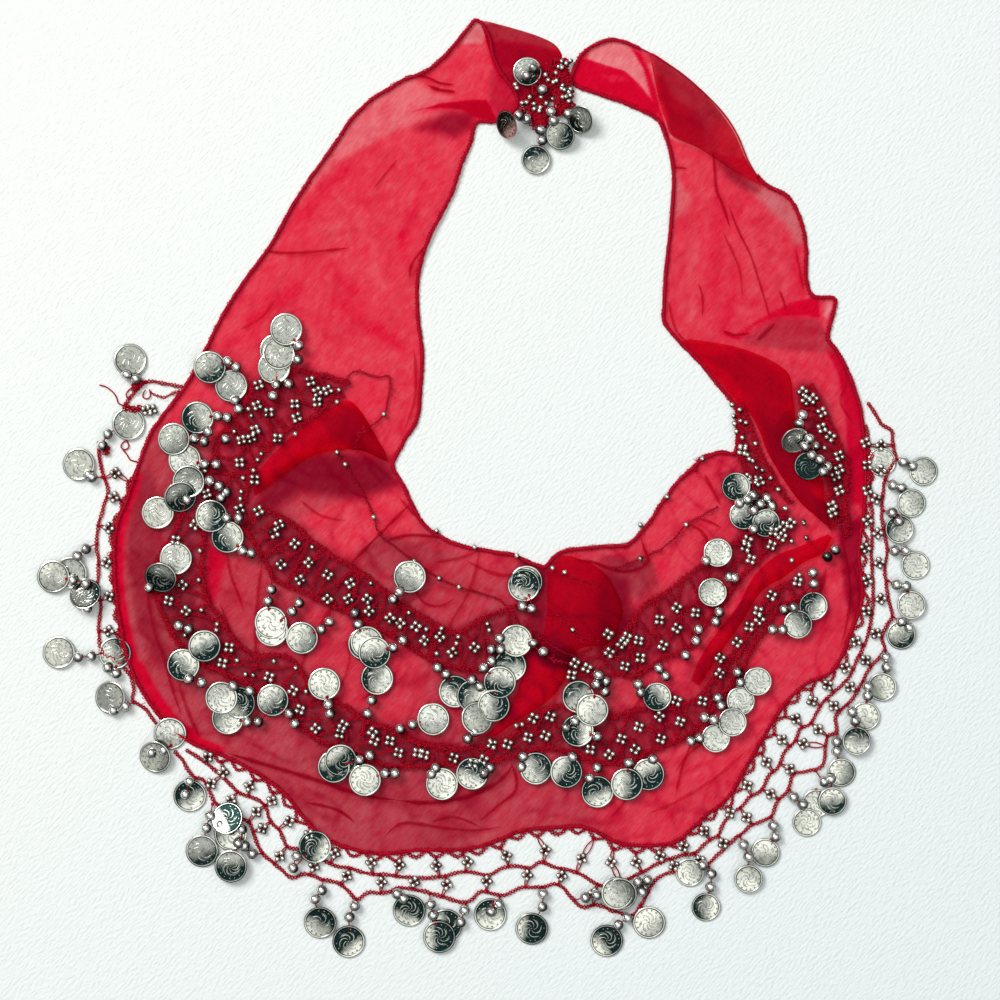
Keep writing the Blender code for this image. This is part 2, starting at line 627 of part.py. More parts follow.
def loft(name, rings, finish):
    """A closed solid through rings of points that all have the same count."""
    bm = bmesh.new()
    made = [[bm.verts.new(point) for point in ring] for ring in rings]
    for low, high in zip(made, made[1:]):
        for k in range(len(low)):
            after = (k + 1) % len(low)
            bm.faces.new((low[k], low[after], high[after], high[k]))
    bm.faces.new(reversed(made[0]))
    bm.faces.new(made[-1])
    return add_object(name, bm, finish)


class Ground:
    """The height of whatever cloth lies at a place, read from the pieces laid so far."""

    def __init__(self):
        self.trees = []

    def add(self, made):
        mesh = made.data
        corners = [v.co / MM for v in mesh.vertices]
        self.trees.append(BVHTree.FromPolygons(corners, [tuple(p.vertices) for p in mesh.polygons]))

    def at(self, x, y):
        high = 0.0
        for tree in self.trees:
            hit = tree.ray_cast(Vector((x, y, 100.0)), Vector((0, 0, -1)))[0]
            if hit is not None:
                high = max(high, hit.z)
        return high

    def around(self, x, y, reach):
        """The highest cloth within a circle."""
        high = self.at(x, y)
        for ring in (0.5, 1.0):
            for k in range(8):
                turn = k * pi / 4
                high = max(high, self.at(x + ring * reach * cos(turn), y + ring * reach * sin(turn)))
        return high


# ---------------------------------------------------------------- cloth

def crease_height(x, y):
    """Rise of the creases above the flat cloth at a place."""
    rise = 0.0
    for crease in CREASES:
        away = nearest_on_segment(x, y, *crease[:4])[1] / crease.width
        if away < 1.0:
            rise += crease.height * (1 - away * away) ** 2
    return rise


def cloth_panel(name, rows, across):
    """One layer of cloth, flat below and creased above, with points across from hem to waist edge."""
    rings = []
    for ix, iy, ox, oy in smooth(rows, STEPS):
        ring = [(ix, iy, 0.0), (ox, oy, 0.0)]
        for j in range(across + 1):
            t = j / across
            x, y = ox + (ix - ox) * t, oy + (iy - oy) * t
            ring.append((x, y, CLOTH + crease_height(x, y)))
        rings.append(ring)
    return loft(name, rings, chiffon(name))


def folded_cloth(name, rows, across, ground):
    """Layers folded over: a rounded solid whose rim shows two of them, one above the other."""
    rows = smooth(rows, STEPS)
    base = max(ground.around((r[0] + r[2]) / 2, (r[1] + r[3]) / 2, hypot(r[2] - r[0], r[3] - r[1]) / 2)
               for r in rows)
    base = base + SEAM if base > 0 else 0.0
    rings = []
    for lx, ly, rx, ry, crown in rows:
        width = hypot(rx - lx, ry - ly)
        groove = min(0.9, width * 0.12)
        rim = [(0, 0), (0, 0.9), (groove, 1.0), (groove, 1.2), (groove * 0.2, 1.3), (groove * 0.4, PLIES)]
        profile = list(rim)
        for j in range(1, across):
            t = j / across
            profile.append((width * t, PLIES + crown * sin(pi * t) ** 0.8))
        profile += [(width - u, z) for u, z in reversed(rim)]
        ring = []
        for u, z in profile:
            t = u / width
            ring.append((lx + (rx - lx) * t, ly + (ry - ly) * t, base + z))
        rings.append(ring)
    return loft(name, rings, chiffon(name))


# ---------------------------------------------------------------- nets, lace and their drops

class Net:
    """Cells side by side, as polygons of shared points; an open cell gets a gap cut through it."""

    def __init__(self):
        self.points = []
        self.numbers = {}
        self.cells = []
        self.roots = {}

    def point(self, x, y):
        key = (round(x, 2), round(y, 2))
        if key not in self.numbers:
            self.numbers[key] = len(self.points)
            self.points.append((x, y))
        return self.numbers[key]

    def cell(self, corners, is_open):
        numbers = []
        for corner in corners:
            number = self.point(*corner)
            if number not in numbers:
                numbers.append(number)
        if area([self.points[n] for n in numbers]) < 0:
            numbers.reverse()
        self.cells.append((numbers, is_open))

    def edges(self):
        """Each directed edge with the number of its cell."""
        found = {}
        for c, (numbers, _) in enumerate(self.cells):
            for a, b in zip(numbers, numbers[1:] + numbers[:1]):
                found[(a, b)] = c
        return found

    def add_root(self, x, y, path):
        """Opens a piece of the outside wall nearest to a place, where a drop or rung leaves it."""
        found = self.edges()
        best = None
        for (a, b), c in found.items():
            if (b, a) in found or (a, b) in self.roots:
                continue
            (ax, ay), (bx, by) = self.points[a], self.points[b]
            length = hypot(bx - ax, by - ay)
            if length < LINK + 0.8:
                continue
            t, away = nearest_on_segment(x, y, ax, ay, bx, by)
            aim_x, aim_y = path[0][0] - x, path[0][1] - y
            outward = (aim_x * (by - ay) - aim_y * (bx - ax)) / (length * hypot(aim_x, aim_y))
            away += 4.0 * (1.0 - outward)
            if outward > 0.1 and (best is None or away < best[0]):
                best = (away, a, b, c, t, length)
        _, a, b, c, t, length = best
        half = (LINK / 2) / length
        t = min(max(t, half + 0.3 / length), 1 - half - 0.3 / length)
        (ax, ay), (bx, by) = self.points[a], self.points[b]
        near = self.point(ax + (bx - ax) * (t - half), ay + (by - ay) * (t - half))
        far = self.point(ax + (bx - ax) * (t + half), ay + (by - ay) * (t + half))
        numbers = self.cells[c][0]
        at = numbers.index(a) + 1
        numbers[at:at] = [near, far]
        self.roots[(near, far)] = path


def meeting(first, second):
    """Where two lines meet, each a point and a direction; nearly parallel ones meet halfway."""
    (ax, ay, ux, uy), (bx, by, vx, vy) = first, second
    turn = ux * vy - uy * vx
    if abs(turn) < 0.1:
        return ((ax + ux + bx) / 2, (ay + uy + by) / 2)
    t = ((bx - ax) * vy - (by - ay) * vx) / turn
    return (ax + ux * t, ay + uy * t)


def gap_in(polygon, insets):
    """A cell's outline moved inward by each side's own distance, or None where no gap is left.

    A side too short to last is dropped, and its two corners share one point.
    """
    count = len(polygon)
    sides = []
    for (ax, ay), (bx, by), inset in zip(polygon, polygon[1:] + polygon[:1], insets):
        length = hypot(bx - ax, by - ay)
        x, y = (ay - by) / length * inset, (bx - ax) / length * inset
        sides.append((ax + x, ay + y, bx - ax, by - ay))
    kept = list(range(count))
    while len(kept) > 2:
        corners = [meeting(sides[kept[k - 1]], sides[kept[k]]) for k in range(len(kept))]
        worst = (0.3, None)
        for k, number in enumerate(kept):
            (px, py), (qx, qy) = corners[k], corners[(k + 1) % len(kept)]
            dx, dy = sides[number][2:]
            forward = ((qx - px) * dx + (qy - py) * dy) / hypot(dx, dy)
            if forward < worst[0]:
                worst = (forward, number)
        if worst[1] is None:
            break
        kept.remove(worst[1])
    if len(kept) < 3 or area(corners) < SMALLEST_GAP:
        return None
    gap = []
    for i in range(count):
        following = [k for k, number in enumerate(kept) if number >= i]
        gap.append(following[0] if following else 0)
    return corners, gap


def wall_ring(bm, place, side, half, low, high):
    """Four corners across a drop: right and left below, left and right above."""
    (x, y), (sx, sy) = place, side
    corners = [(-half, low), (half, low), (half, high), (-half, high)]
    return [bm.verts.new((x + sx * u, y + sy * u, z)) for u, z in corners]


def add_path(bm, ring, path):
    """Lofts a drop or rung on from the opened wall, along its rows of place, half width and heights."""
    before = ring
    for i, (x, y, half, low, high) in enumerate(path):
        ax, ay = path[max(i - 1, 0)][:2]
        bx, by = path[min(i + 1, len(path) - 1)][:2]
        length = hypot(bx - ax, by - ay)
        side = (-(by - ay) / length, (bx - ax) / length)
        after = wall_ring(bm, (x, y), side, half, low, high)
        for k in range(4):
            n = (k + 1) % 4
            bm.faces.new((before[k], before[n], after[n], after[k]))
        before = after
    bm.faces.new(before)


def add_net(name, net, bottom, wall, finish):
    """The solid of a net: strands round each gap, walls round the outside, and what hangs from them."""
    bm = bmesh.new()
    low = [bm.verts.new((x, y, bottom(x, y))) for x, y in net.points]
    high = [bm.verts.new((x, y, v.co.z + wall)) for (x, y), v in zip(net.points, low)]
    found = net.edges()
    for numbers, is_open in net.cells:
        polygon = [net.points[n] for n in numbers]
        pairs = list(zip(numbers, numbers[1:] + numbers[:1]))
        insets = [RUNG / 2 if (b, a) in found else CHAIN for a, b in pairs]
        found_gap = gap_in(polygon, insets) if is_open else None
        if found_gap is None:
            bm.faces.new([high[n] for n in numbers])
            bm.faces.new([low[n] for n in reversed(numbers)])
        else:
            corners, gap = found_gap
            gap_low = [bm.verts.new((x, y, bottom(x, y))) for x, y in corners]
            gap_high = [bm.verts.new((v.co.x, v.co.y, v.co.z + wall)) for v in gap_low]
            for i, (a, b) in enumerate(pairs):
                g, h = gap[i], gap[(i + 1) % len(gap)]
                if g == h:
                    bm.faces.new((high[a], high[b], gap_high[g]))
                    bm.faces.new((low[b], low[a], gap_low[g]))
                else:
                    bm.faces.new((high[a], high[b], gap_high[h], gap_high[g]))
                    bm.faces.new((low[b], low[a], gap_low[g], gap_low[h]))
                    bm.faces.new((gap_low[h], gap_low[g], gap_high[g], gap_high[h]))
        for a, b in pairs:
            if (b, a) in found:
                continue
            ring = [low[a], low[b], high[b], high[a]]
            if (a, b) in net.roots:
                add_path(bm, ring, net.roots[(a, b)])
            else:
                bm.faces.new(ring)
    return add_object(name, bm, finish)


def drop_path(drop, base):
    """Large beads and a coin in line from a root, as rows of place, half width and heights."""
    dx, dy = drop.coin_x - drop.root_x, drop.coin_y - drop.root_y
    reach = hypot(dx, dy)
    rows = []
    second = reach - COIN_RADIUS - BEAD / 2 - 0.3
    first = second - BEAD_STEP
    for at in (first, second):
        if at > CLEAR_OF_CHAIN:
            if rows:
                rows.append((at - BEAD_STEP / 2, LINK / 2, base + 2.2, base + 3.4))
            rows.append((at, BEAD / 2, base + 0.1, base + BEAD))
    for turn in (22.5, 67.5, 112.5, 157.5):
        along = reach - COIN_RADIUS * cos(radians(turn))
        rows.append((along, COIN_RADIUS * sin(radians(turn)), base, base + COIN_WALL))
    ux, uy = dx / reach, dy / reach
    return [(drop.root_x + ux * at, drop.root_y + uy * at, half, lo, hi) for at, half, lo, hi in rows]


def hang_drops(name, net, ground):
    """Roots the coin drops of a border in its net."""
    for drop in DROPS.get(name, ()):
        base = ground.around(drop.coin_x, drop.coin_y, COIN_RADIUS) + SEAM + drop.layer * STACK
        net.add_root(drop.root_x, drop.root_y, drop_path(drop, base))


def chain_net(points, width):
    """A chain as a row of closed cells along a line of points."""
    left = moved_out(points, -width / 2)
    right = moved_out(points, width / 2)
    net = Net()
    for i in range(len(points) - 1):
        net.cell([left[i], left[i + 1], right[i + 1], right[i]], False)
    return net


def lace_band(name, rows, cells_across, ground):
    """A band of lace on the cloth: open cells between its upper and lower chains."""
    net = Net()
    for a, b in zip(rows, rows[1:]):
        for j in range(cells_across):
            s, t = j / cells_across, (j + 1) / cells_across
            corners = []
            for row, u in ((a, s), (b, s), (b, t), (a, t)):
                x = row.upper_x + (row.lower_x - row.upper_x) * u
                y = row.upper_y + (row.lower_y - row.upper_y) * u
                corners.append((x, y))
            net.cell(corners, True)
    hang_drops(name, net, ground)
    return add_net(name, net, lambda x, y: ground.around(x, y, 6.0) + SEAM, LACE_WALL, crochet(name))


def rung_path(net_side, cluster, chain_side, low, wall):
    """A beaded thread from one chain to just short of the next, thick where its seed beads are."""
    (ax, ay), (bx, by) = net_side, chain_side
    length = hypot(bx - ax, by - ay)
    stop = length - CHAIN / 2 - SEAM - 0.2
    ux, uy = (bx - ax) / length, (by - ay) / length
    middle = min(max(nearest_on_segment(*cluster, ax, ay, bx, by)[0] * length, 1.4), stop - 0.8)
    rows = [(middle, CLUSTER / 2, low, low + 2.6), (stop, LINK / 2, low, low + wall)]
    return [(ax + ux * at, ay + uy * at, half, lo, hi) for at, half, lo, hi in rows]


def add_rungs(net, clusters, inner_chain, outer_chain):
    """Roots the beaded threads that hold a net's last chain off it."""
    for cluster in clusters:
        start = point_at(inner_chain, nearest_on_line(*cluster, inner_chain)[0])
        end = point_at(outer_chain, nearest_on_line(*cluster, outer_chain)[0])
        net.add_root(*start, rung_path(start, cluster, end, 0.0, NET_WALL))


def border_net(hem):
    """The net beyond the hem: open cells between the hem and the middle chain, then beaded rungs."""
    edge = moved_out(hem, SEAM + 0.1)
    net = Net()
    rungs = []
    for cluster in INNER_CLUSTERS:
        hem_place = round(nearest_on_line(*cluster, edge)[0])
        rungs.append((hem_place, nearest_on_line(*cluster, MIDDLE_CHAIN)[0]))
    for (hem_a, mid_a), (hem_b, mid_b) in zip(rungs, rungs[1:]):
        inner = edge[hem_a:hem_b + 1]
        outer = stretch(MIDDLE_CHAIN, mid_a, mid_b)
        net.cell(inner + outer[::-1], True)
    add_rungs(net, OUTER_CLUSTERS, MIDDLE_CHAIN, OUTER_CHAIN)
    return add_net("net_bottom", net, lambda x, y: 0.0, NET_WALL, crochet("net_bottom"))


def border_net_left(hem):
    """On the left the net is folded under, so only a chain along the hem and its rungs show."""
    edge = moved_out(hem, SEAM + 0.1 + CHAIN / 2)
    start = int(nearest_on_line(*LEFT_CLUSTERS[0], edge)[0]) - 1
    end = int(nearest_on_line(*LEFT_CLUSTERS[-1], edge)[0]) + 2
    chain = edge[start:end + 1]
    net = chain_net(chain, CHAIN)
    add_rungs(net, LEFT_CLUSTERS, chain, OUTER_CHAIN_LEFT)
    return add_net("net_left", net, lambda x, y: 0.0, NET_WALL, crochet("net_left"))


def fringe(name, points, ground):
    """The outermost chain, parted from the net, with its coin drops fused to it."""
    net = chain_net(points, CHAIN)
    hang_drops(name, net, ground)
    return add_net(name, net, lambda x, y: SEAM, NET_WALL, silver(name))


def tie_knot(ground):
    """The knot of thread where the tie ends meet, with the drops that gather there."""
    net = Net()
    for a, b in zip(KNOT, KNOT[1:]):
        net.cell([(a.upper_x, a.upper_y), (b.upper_x, b.upper_y), (b.lower_x, b.lower_y),
                  (a.lower_x, a.lower_y)], False)
    hang_drops("knot_fringe", net, ground)
    return add_net("knot_fringe", net, lambda x, y: ground.around(x, y, 2.0) + SEAM, 4.5,
                   crochet("knot_fringe"))


def waist_chain(ground):
    """The crocheted chain along the waist edge, lying on the cloth."""
    net = chain_net(WAIST_CHAIN, CHAIN)
    return add_net("waist_chain", net, lambda x, y: ground.around(x, y, 4.0) + SEAM, LACE_WALL,
                   crochet("waist_chain"))


# ---------------------------------------------------------------- the scarf

def beside(row):
    """A row of the body set off by a seam's clearance, where a tie begins."""
    return Section(row.inner_x, row.inner_y + SEAM, row.outer_x, row.outer_y + SEAM)


def lay_cloth(ground):
    """The stretches of the crescent, then what is folded over them."""
    ground.add(cloth_panel("tie_left", TIE_LEFT, 5))
    ground.add(cloth_panel("body", BODY, 9))
    ground.add(cloth_panel("tie_right", TIE_RIGHT, 5))
    for name, rows in (("fold_left", FOLD_LEFT), ("fold_centre", FOLD_CENTRE), ("fold_right", FOLD_RIGHT),
                       ("fold_right_return", FOLD_RIGHT_RETURN)):
        folded_cloth(name, rows, 6, ground)
    turns = [folded_cloth("tie_left_turn", TIE_LEFT_TURN, 6, ground),
             folded_cloth("tie_right_turn", TIE_RIGHT_TURN, 6, ground)]
    for turn in turns:
        ground.add(turn)


def lay_lace(ground):
    """The lace bands that lie on the cloth."""
    bands = [("lace_upper_left", LACE_UPPER_LEFT, 2), ("lace_upper_middle", LACE_UPPER_MIDDLE, 1),
             ("lace_upper_right", LACE_UPPER_RIGHT, 2), ("lace_tie_inner", LACE_TIE_INNER, 1),
             ("lace_tie_outer", LACE_TIE_OUTER, 1), ("lace_lower", LACE_LOWER, 2)]
    for name, rows, cells_across in bands:
        lace_band(name, rows, cells_across, ground)
    waist_chain(ground)


def main():
    for old in list(bpy.data.objects):
        bpy.data.objects.remove(old, do_unlink=True)
    TIE_LEFT.append(beside(BODY[0]))
    TIE_RIGHT.insert(0, beside(BODY[-1]))
    ground = Ground()
    lay_cloth(ground)
    lay_lace(ground)
    hem = [row[2:4] for rows in (TIE_LEFT, BODY, TIE_RIGHT) for row in smooth(rows, STEPS)]
    border_net(hem)
    border_net_left(hem)
    fringe("fringe_bottom", OUTER_CHAIN, ground)
    fringe("fringe_left", OUTER_CHAIN_LEFT, ground)
    fringe("fringe_left_end", OUTER_CHAIN_END, ground)
    tie_knot(ground)


main()
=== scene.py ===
# %% [markdown]
# # A belly dance hip scarf, laid down as a ring
#
# The real scarf is one crescent of sheer chiffon with an overlocked hem. Two bands of crocheted lace are
# sewn on it, a third border hangs from its hem, and all three carry seed beads, large beads and coins.
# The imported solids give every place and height. This script dresses them: cloth that light passes
# through, thread that is twisted, and coins with a raised design.
#
# A maker would lay the scarf out and note where each fold and drop lies. The tables do that, each of them
# where it is first needed. Their places are in millimetres from the middle of the ring, X to the right
# and Y towards the ties.

from collections import namedtuple
from math import atan2, cos, hypot, pi, radians, sin

import bpy
import numpy as np
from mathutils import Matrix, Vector
from mathutils.bvhtree import BVHTree


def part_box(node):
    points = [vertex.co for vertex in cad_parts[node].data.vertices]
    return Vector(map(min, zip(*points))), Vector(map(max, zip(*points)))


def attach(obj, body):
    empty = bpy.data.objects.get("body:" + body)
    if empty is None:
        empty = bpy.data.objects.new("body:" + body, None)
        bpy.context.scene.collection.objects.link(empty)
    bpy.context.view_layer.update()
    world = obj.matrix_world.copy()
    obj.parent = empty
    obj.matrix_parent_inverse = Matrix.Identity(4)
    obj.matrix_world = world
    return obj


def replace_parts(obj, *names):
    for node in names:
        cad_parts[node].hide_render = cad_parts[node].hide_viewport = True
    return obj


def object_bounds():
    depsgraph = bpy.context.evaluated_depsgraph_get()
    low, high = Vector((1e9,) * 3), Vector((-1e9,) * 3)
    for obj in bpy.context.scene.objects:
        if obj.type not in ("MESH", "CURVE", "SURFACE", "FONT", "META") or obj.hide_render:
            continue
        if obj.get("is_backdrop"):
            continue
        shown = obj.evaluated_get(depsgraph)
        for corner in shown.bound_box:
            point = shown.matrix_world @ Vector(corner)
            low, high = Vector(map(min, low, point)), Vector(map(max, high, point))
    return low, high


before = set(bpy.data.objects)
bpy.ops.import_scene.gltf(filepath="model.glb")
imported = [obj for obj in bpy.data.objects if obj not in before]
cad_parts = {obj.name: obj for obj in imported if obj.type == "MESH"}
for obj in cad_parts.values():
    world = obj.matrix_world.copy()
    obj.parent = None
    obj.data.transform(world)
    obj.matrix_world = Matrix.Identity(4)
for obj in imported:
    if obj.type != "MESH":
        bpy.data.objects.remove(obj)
cad_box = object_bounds()
MM = 0.001
print("packed nodes:", len(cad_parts), "size in mm:", [round(v / MM) for v in cad_box[1] - cad_box[0]])

# %% [markdown]
# ## Floor, light and camera
#
# The scarf lies on pale paper and is seen from straight above. One broad, soft light stands up and to the
# left, and a weak one hangs overhead. The room is bright above in patches, because bare metal looks grey
# under even light. Helpers come first: to add a node, to link nodes, and to make a ramp of colours.

# %% Helpers for shader nodes
# Sockets of a Mix node that mixes colours, which share their names with those for numbers.
FIRST_COLOUR, SECOND_COLOUR, MIXED_COLOUR = 6, 7, 2


def node(tree, kind, place, **values):
    """Adds a shader node; names in values are its properties or its inputs."""
    made = tree.nodes.new("ShaderNode" + kind)
    made.location = place
    for name, value in values.items():
        label = name.replace("_", " ")
        if label in made.inputs:
            made.inputs[label].default_value = value
        else:
            setattr(made, name, value)
    return made


def wire(tree, *joints):
    """Links nodes; a joint is a node and its output, then the next node and its input."""
    for giver, output, taker, entry in joints:
        tree.links.new(giver.outputs[output], taker.inputs[entry])


def colour_ramp(tree, place, stops):
    """A ramp of colours, given as a colour for each place on it in rising order."""
    made = node(tree, "ValToRGB", place)
    elements = made.color_ramp.elements
    stops = list(stops.items())
    for end in (0, -1):
        elements[end].position, elements[end].color = stops[end]
    for where, colour in stops[1:-1]:
        elements.new(where).color = colour
    return made


def new_material(name):
    """An empty material with its output, to be wired by hand."""
    made = bpy.data.materials.new(name)
    made.use_nodes = True
    made.node_tree.nodes.clear()
    return made, made.node_tree, node(made.node_tree, "OutputMaterial", (600, 0))


print("colours of a Mix node go in at", FIRST_COLOUR, "and", SECOND_COLOUR)

# %% Paper floor
FLOOR_SIZE = 6.0
FLOOR_DROP = 0.0002


def paper_material():
    """Pale paper, embossed with short slanting strokes, with painted shade: a little darker and cooler
    towards one corner.
    """
    made, tree, output = new_material("paper")
    place = node(tree, "TexCoord", (-1300, 0))
    slant = node(tree, "Mapping", (-1100, 0), vector_type="TEXTURE", Rotation=(0.0, 0.0, 0.8),
                 Scale=(1.3, 0.6, 1.0))
    strokes = node(tree, "TexNoise", (-850, 0), Scale=380.0, Detail=1.0, Roughness=0.5)
    bump = node(tree, "Bump", (-100, -250), Strength=0.6, Distance=0.0012)
    # Painted shade: the colour goes darker and cooler towards the lower right, away from the window light.
    across = node(tree, "SeparateXYZ", (-1100, 300))
    corner = node(tree, "Math", (-850, 300), operation="SUBTRACT")
    share = node(tree, "MapRange", (-600, 300), From_Min=-0.4, From_Max=0.5)
    colour = node(tree, "Mix", (-350, 200), data_type="RGBA")
    colour.inputs[FIRST_COLOUR].default_value = (0.88, 0.905, 0.87, 1.0)
    colour.inputs[SECOND_COLOUR].default_value = (0.84, 0.90, 0.90, 1.0)
    shader = node(tree, "BsdfPrincipled", (250, 0), Roughness=0.85, Specular_IOR_Level=0.2)
    wire(tree, (place, "Object", slant, "Vector"), (place, "Object", across, "Vector"),
         (across, "X", corner, 0), (across, "Y", corner, 1), (corner, 0, share, "Value"),
         (share, "Result", colour, "Factor"), (slant, "Vector", strokes, "Vector"),
         (strokes, "Fac", bump, "Height"), (bump, "Normal", shader, "Normal"),
         (colour, MIXED_COLOUR, shader, "Base Color"), (shader, "BSDF", output, "Surface"))
    return made


def lay_floor():
    """A wide sheet of paper just under the scarf."""
    half = FLOOR_SIZE / 2
    corners = [(x * half, y * half, -FLOOR_DROP) for x, y in ((-1, -1), (1, -1), (1, 1), (-1, 1))]
    mesh = bpy.data.meshes.new("floor")
    mesh.from_pydata(corners, [], [(0, 1, 2, 3)])
    mesh.materials.append(paper_material())
    floor = bpy.data.objects.new("floor", mesh)
    bpy.context.scene.collection.objects.link(floor)
    floor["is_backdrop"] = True


lay_floor()
print("floor in m:", FLOOR_SIZE)

# %% Room and lamps
ROOM_STRENGTH = 0.95


def light_room():
    """A room that is bright overhead and dark near the floor, so that round metal gets dark edges."""
    world = bpy.data.worlds.new("room")
    bpy.context.scene.world = world
    world.use_nodes = True
    tree = world.node_tree
    background = tree.nodes["Background"]
    background.inputs["Strength"].default_value = ROOM_STRENGTH
    where = node(tree, "TexCoord", (-1100, 0))
    apart = node(tree, "SeparateXYZ", (-900, 200))
    height = node(tree, "MapRange", (-700, 200), From_Min=0.25, From_Max=0.85, To_Min=0.04, To_Max=1.0)
    windows = node(tree, "TexNoise", (-900, -100), Scale=4.5, Detail=1.0, Roughness=0.4)
    ramp = colour_ramp(tree, (-700, -100), {0.42: (0.30, 0.33, 0.35, 1.0), 0.58: (1.0, 1.0, 0.97, 1.0)})
    both = node(tree, "VectorMath", (-400, 50), operation="MULTIPLY")
    wire(tree, (where, "Generated", apart, "Vector"), (apart, "Z", height, "Value"),
         (where, "Generated", windows, "Vector"), (windows, "Fac", ramp, "Fac"),
         (ramp, "Color", both, 0), (height, "Result", both, 1), (both, "Vector", background, "Color"))


def add_light(name, place, size, watts):
    """A square soft light that faces the middle of the scarf."""
    lamp = bpy.data.lights.new(name, "AREA")
    lamp.shape = "SQUARE"
    lamp.size = size
    lamp.energy = watts
    made = bpy.data.objects.new(name, lamp)
    made.location = place
    made.rotation_euler = (-Vector(place)).to_track_quat("-Z", "Y").to_euler()
    bpy.context.scene.collection.objects.link(made)


light_room()
add_light("window", (-1.7, 1.7, 2.8), 1.6, 92.0)
add_light("ceiling", (0.4, -0.4, 2.4), 2.0, 9.5)

# %% Camera
VIEW_WIDTH = 0.58
VIEW_CENTRE = (0.00667, -0.00667)
CAMERA_HEIGHT = 1.6
SENSOR = 36.0


def add_camera():
    """A camera that looks straight down and takes in the view's width on the floor."""
    lens = bpy.data.cameras.new("camera")
    lens.sensor_width = SENSOR
    lens.lens = SENSOR * CAMERA_HEIGHT / VIEW_WIDTH
    lens.clip_end = 50.0
    camera = bpy.data.objects.new("camera", lens)
    camera.location = (*VIEW_CENTRE, CAMERA_HEIGHT)
    bpy.context.scene.collection.objects.link(camera)
    bpy.context.scene.camera = camera


add_camera()
bpy.context.scene.view_settings.view_transform = "Standard"
print("camera height in m:", CAMERA_HEIGHT, "view width in m:", VIEW_WIDTH)

# %% [markdown]
# ## Finishes
#
# Chiffon is a fine open weave. Some light strikes the red threads, and the rest goes through and is tinted
# on its way, so a second layer looks deeper. A Transparent shader with a tint, mixed with a plain
# one, gives just that, and it lets the lights through to the floor. One crepe group serves both cloths. The
# silver is a metal whose hollows are dark, and its group reads how dark each point is made: hollows and
# tarnish, a painted reflection on one side of each coin, and painted shade on the beads.

# %% A group for the crepe of the chiffon
def new_group(name, inputs, outputs):
    """A shader node group whose inputs and outputs are numbers with names."""
    group = bpy.data.node_groups.new(name, "ShaderNodeTree")
    for label, value in inputs.items():
        socket = group.interface.new_socket(label, in_out="INPUT", socket_type="NodeSocketFloat")
        socket.default_value = value
    for label in outputs:
        group.interface.new_socket(label, in_out="OUTPUT", socket_type="NodeSocketFloat")
    start, end = group.nodes.new("NodeGroupInput"), group.nodes.new("NodeGroupOutput")
    start.location = (-900, 0)
    end.location = (700, 0)
    return group, start, end


def crepe_group():
    """Height of the threads: fine grain, with longer crinkles through it."""
    group, start, end = new_group("crepe", {"Grain size": 900.0, "Crinkle size": 120.0}, ["Height"])
    place = node(group, "TexCoord", (-900, -200))
    stretch = node(group, "Mapping", (-700, -200), vector_type="TEXTURE", Rotation=(0.0, 0.0, 0.9),
                   Scale=(2.4, 1.0, 1.0))
    grain = node(group, "TexNoise", (-450, 100), Detail=2.0, Roughness=0.6)
    crinkle = node(group, "TexNoise", (-450, -200), Detail=3.0, Roughness=0.55, Distortion=0.4)
    fine = node(group, "Math", (-200, 100), operation="MULTIPLY")
    fine.inputs[1].default_value = 0.45
    long = node(group, "Math", (-200, -150), operation="MULTIPLY_ADD")
    long.inputs[1].default_value = 0.55
    wire(group, (place, "Object", stretch, "Vector"), (place, "Object", grain, "Vector"),
         (stretch, "Vector", crinkle, "Vector"), (start, "Grain size", grain, "Scale"),
         (start, "Crinkle size", crinkle, "Scale"), (grain, "Fac", fine, 0), (crinkle, "Fac", long, 0),
         (fine, 0, long, 2), (long, 0, end, "Height"))
    return group


CREPE = crepe_group()
print("group:", CREPE.name)

# %% Chiffon
# Tints that light takes in one pass, from cloth pulled thin, through one layer and two, to a tight gather.
TINTS = {
    0.0: (0.99, 0.80, 0.82, 1.0),
    0.25: (0.975, 0.52, 0.54, 1.0),
    0.5: (0.94, 0.235, 0.295, 1.0),
    0.75: (0.91, 0.022, 0.15, 1.0),
    1.0: (0.82, 0.003, 0.08, 1.0),
}
CHIFFON_RED = (0.74, 0.004, 0.075, 1.0)
COVER = 0.13


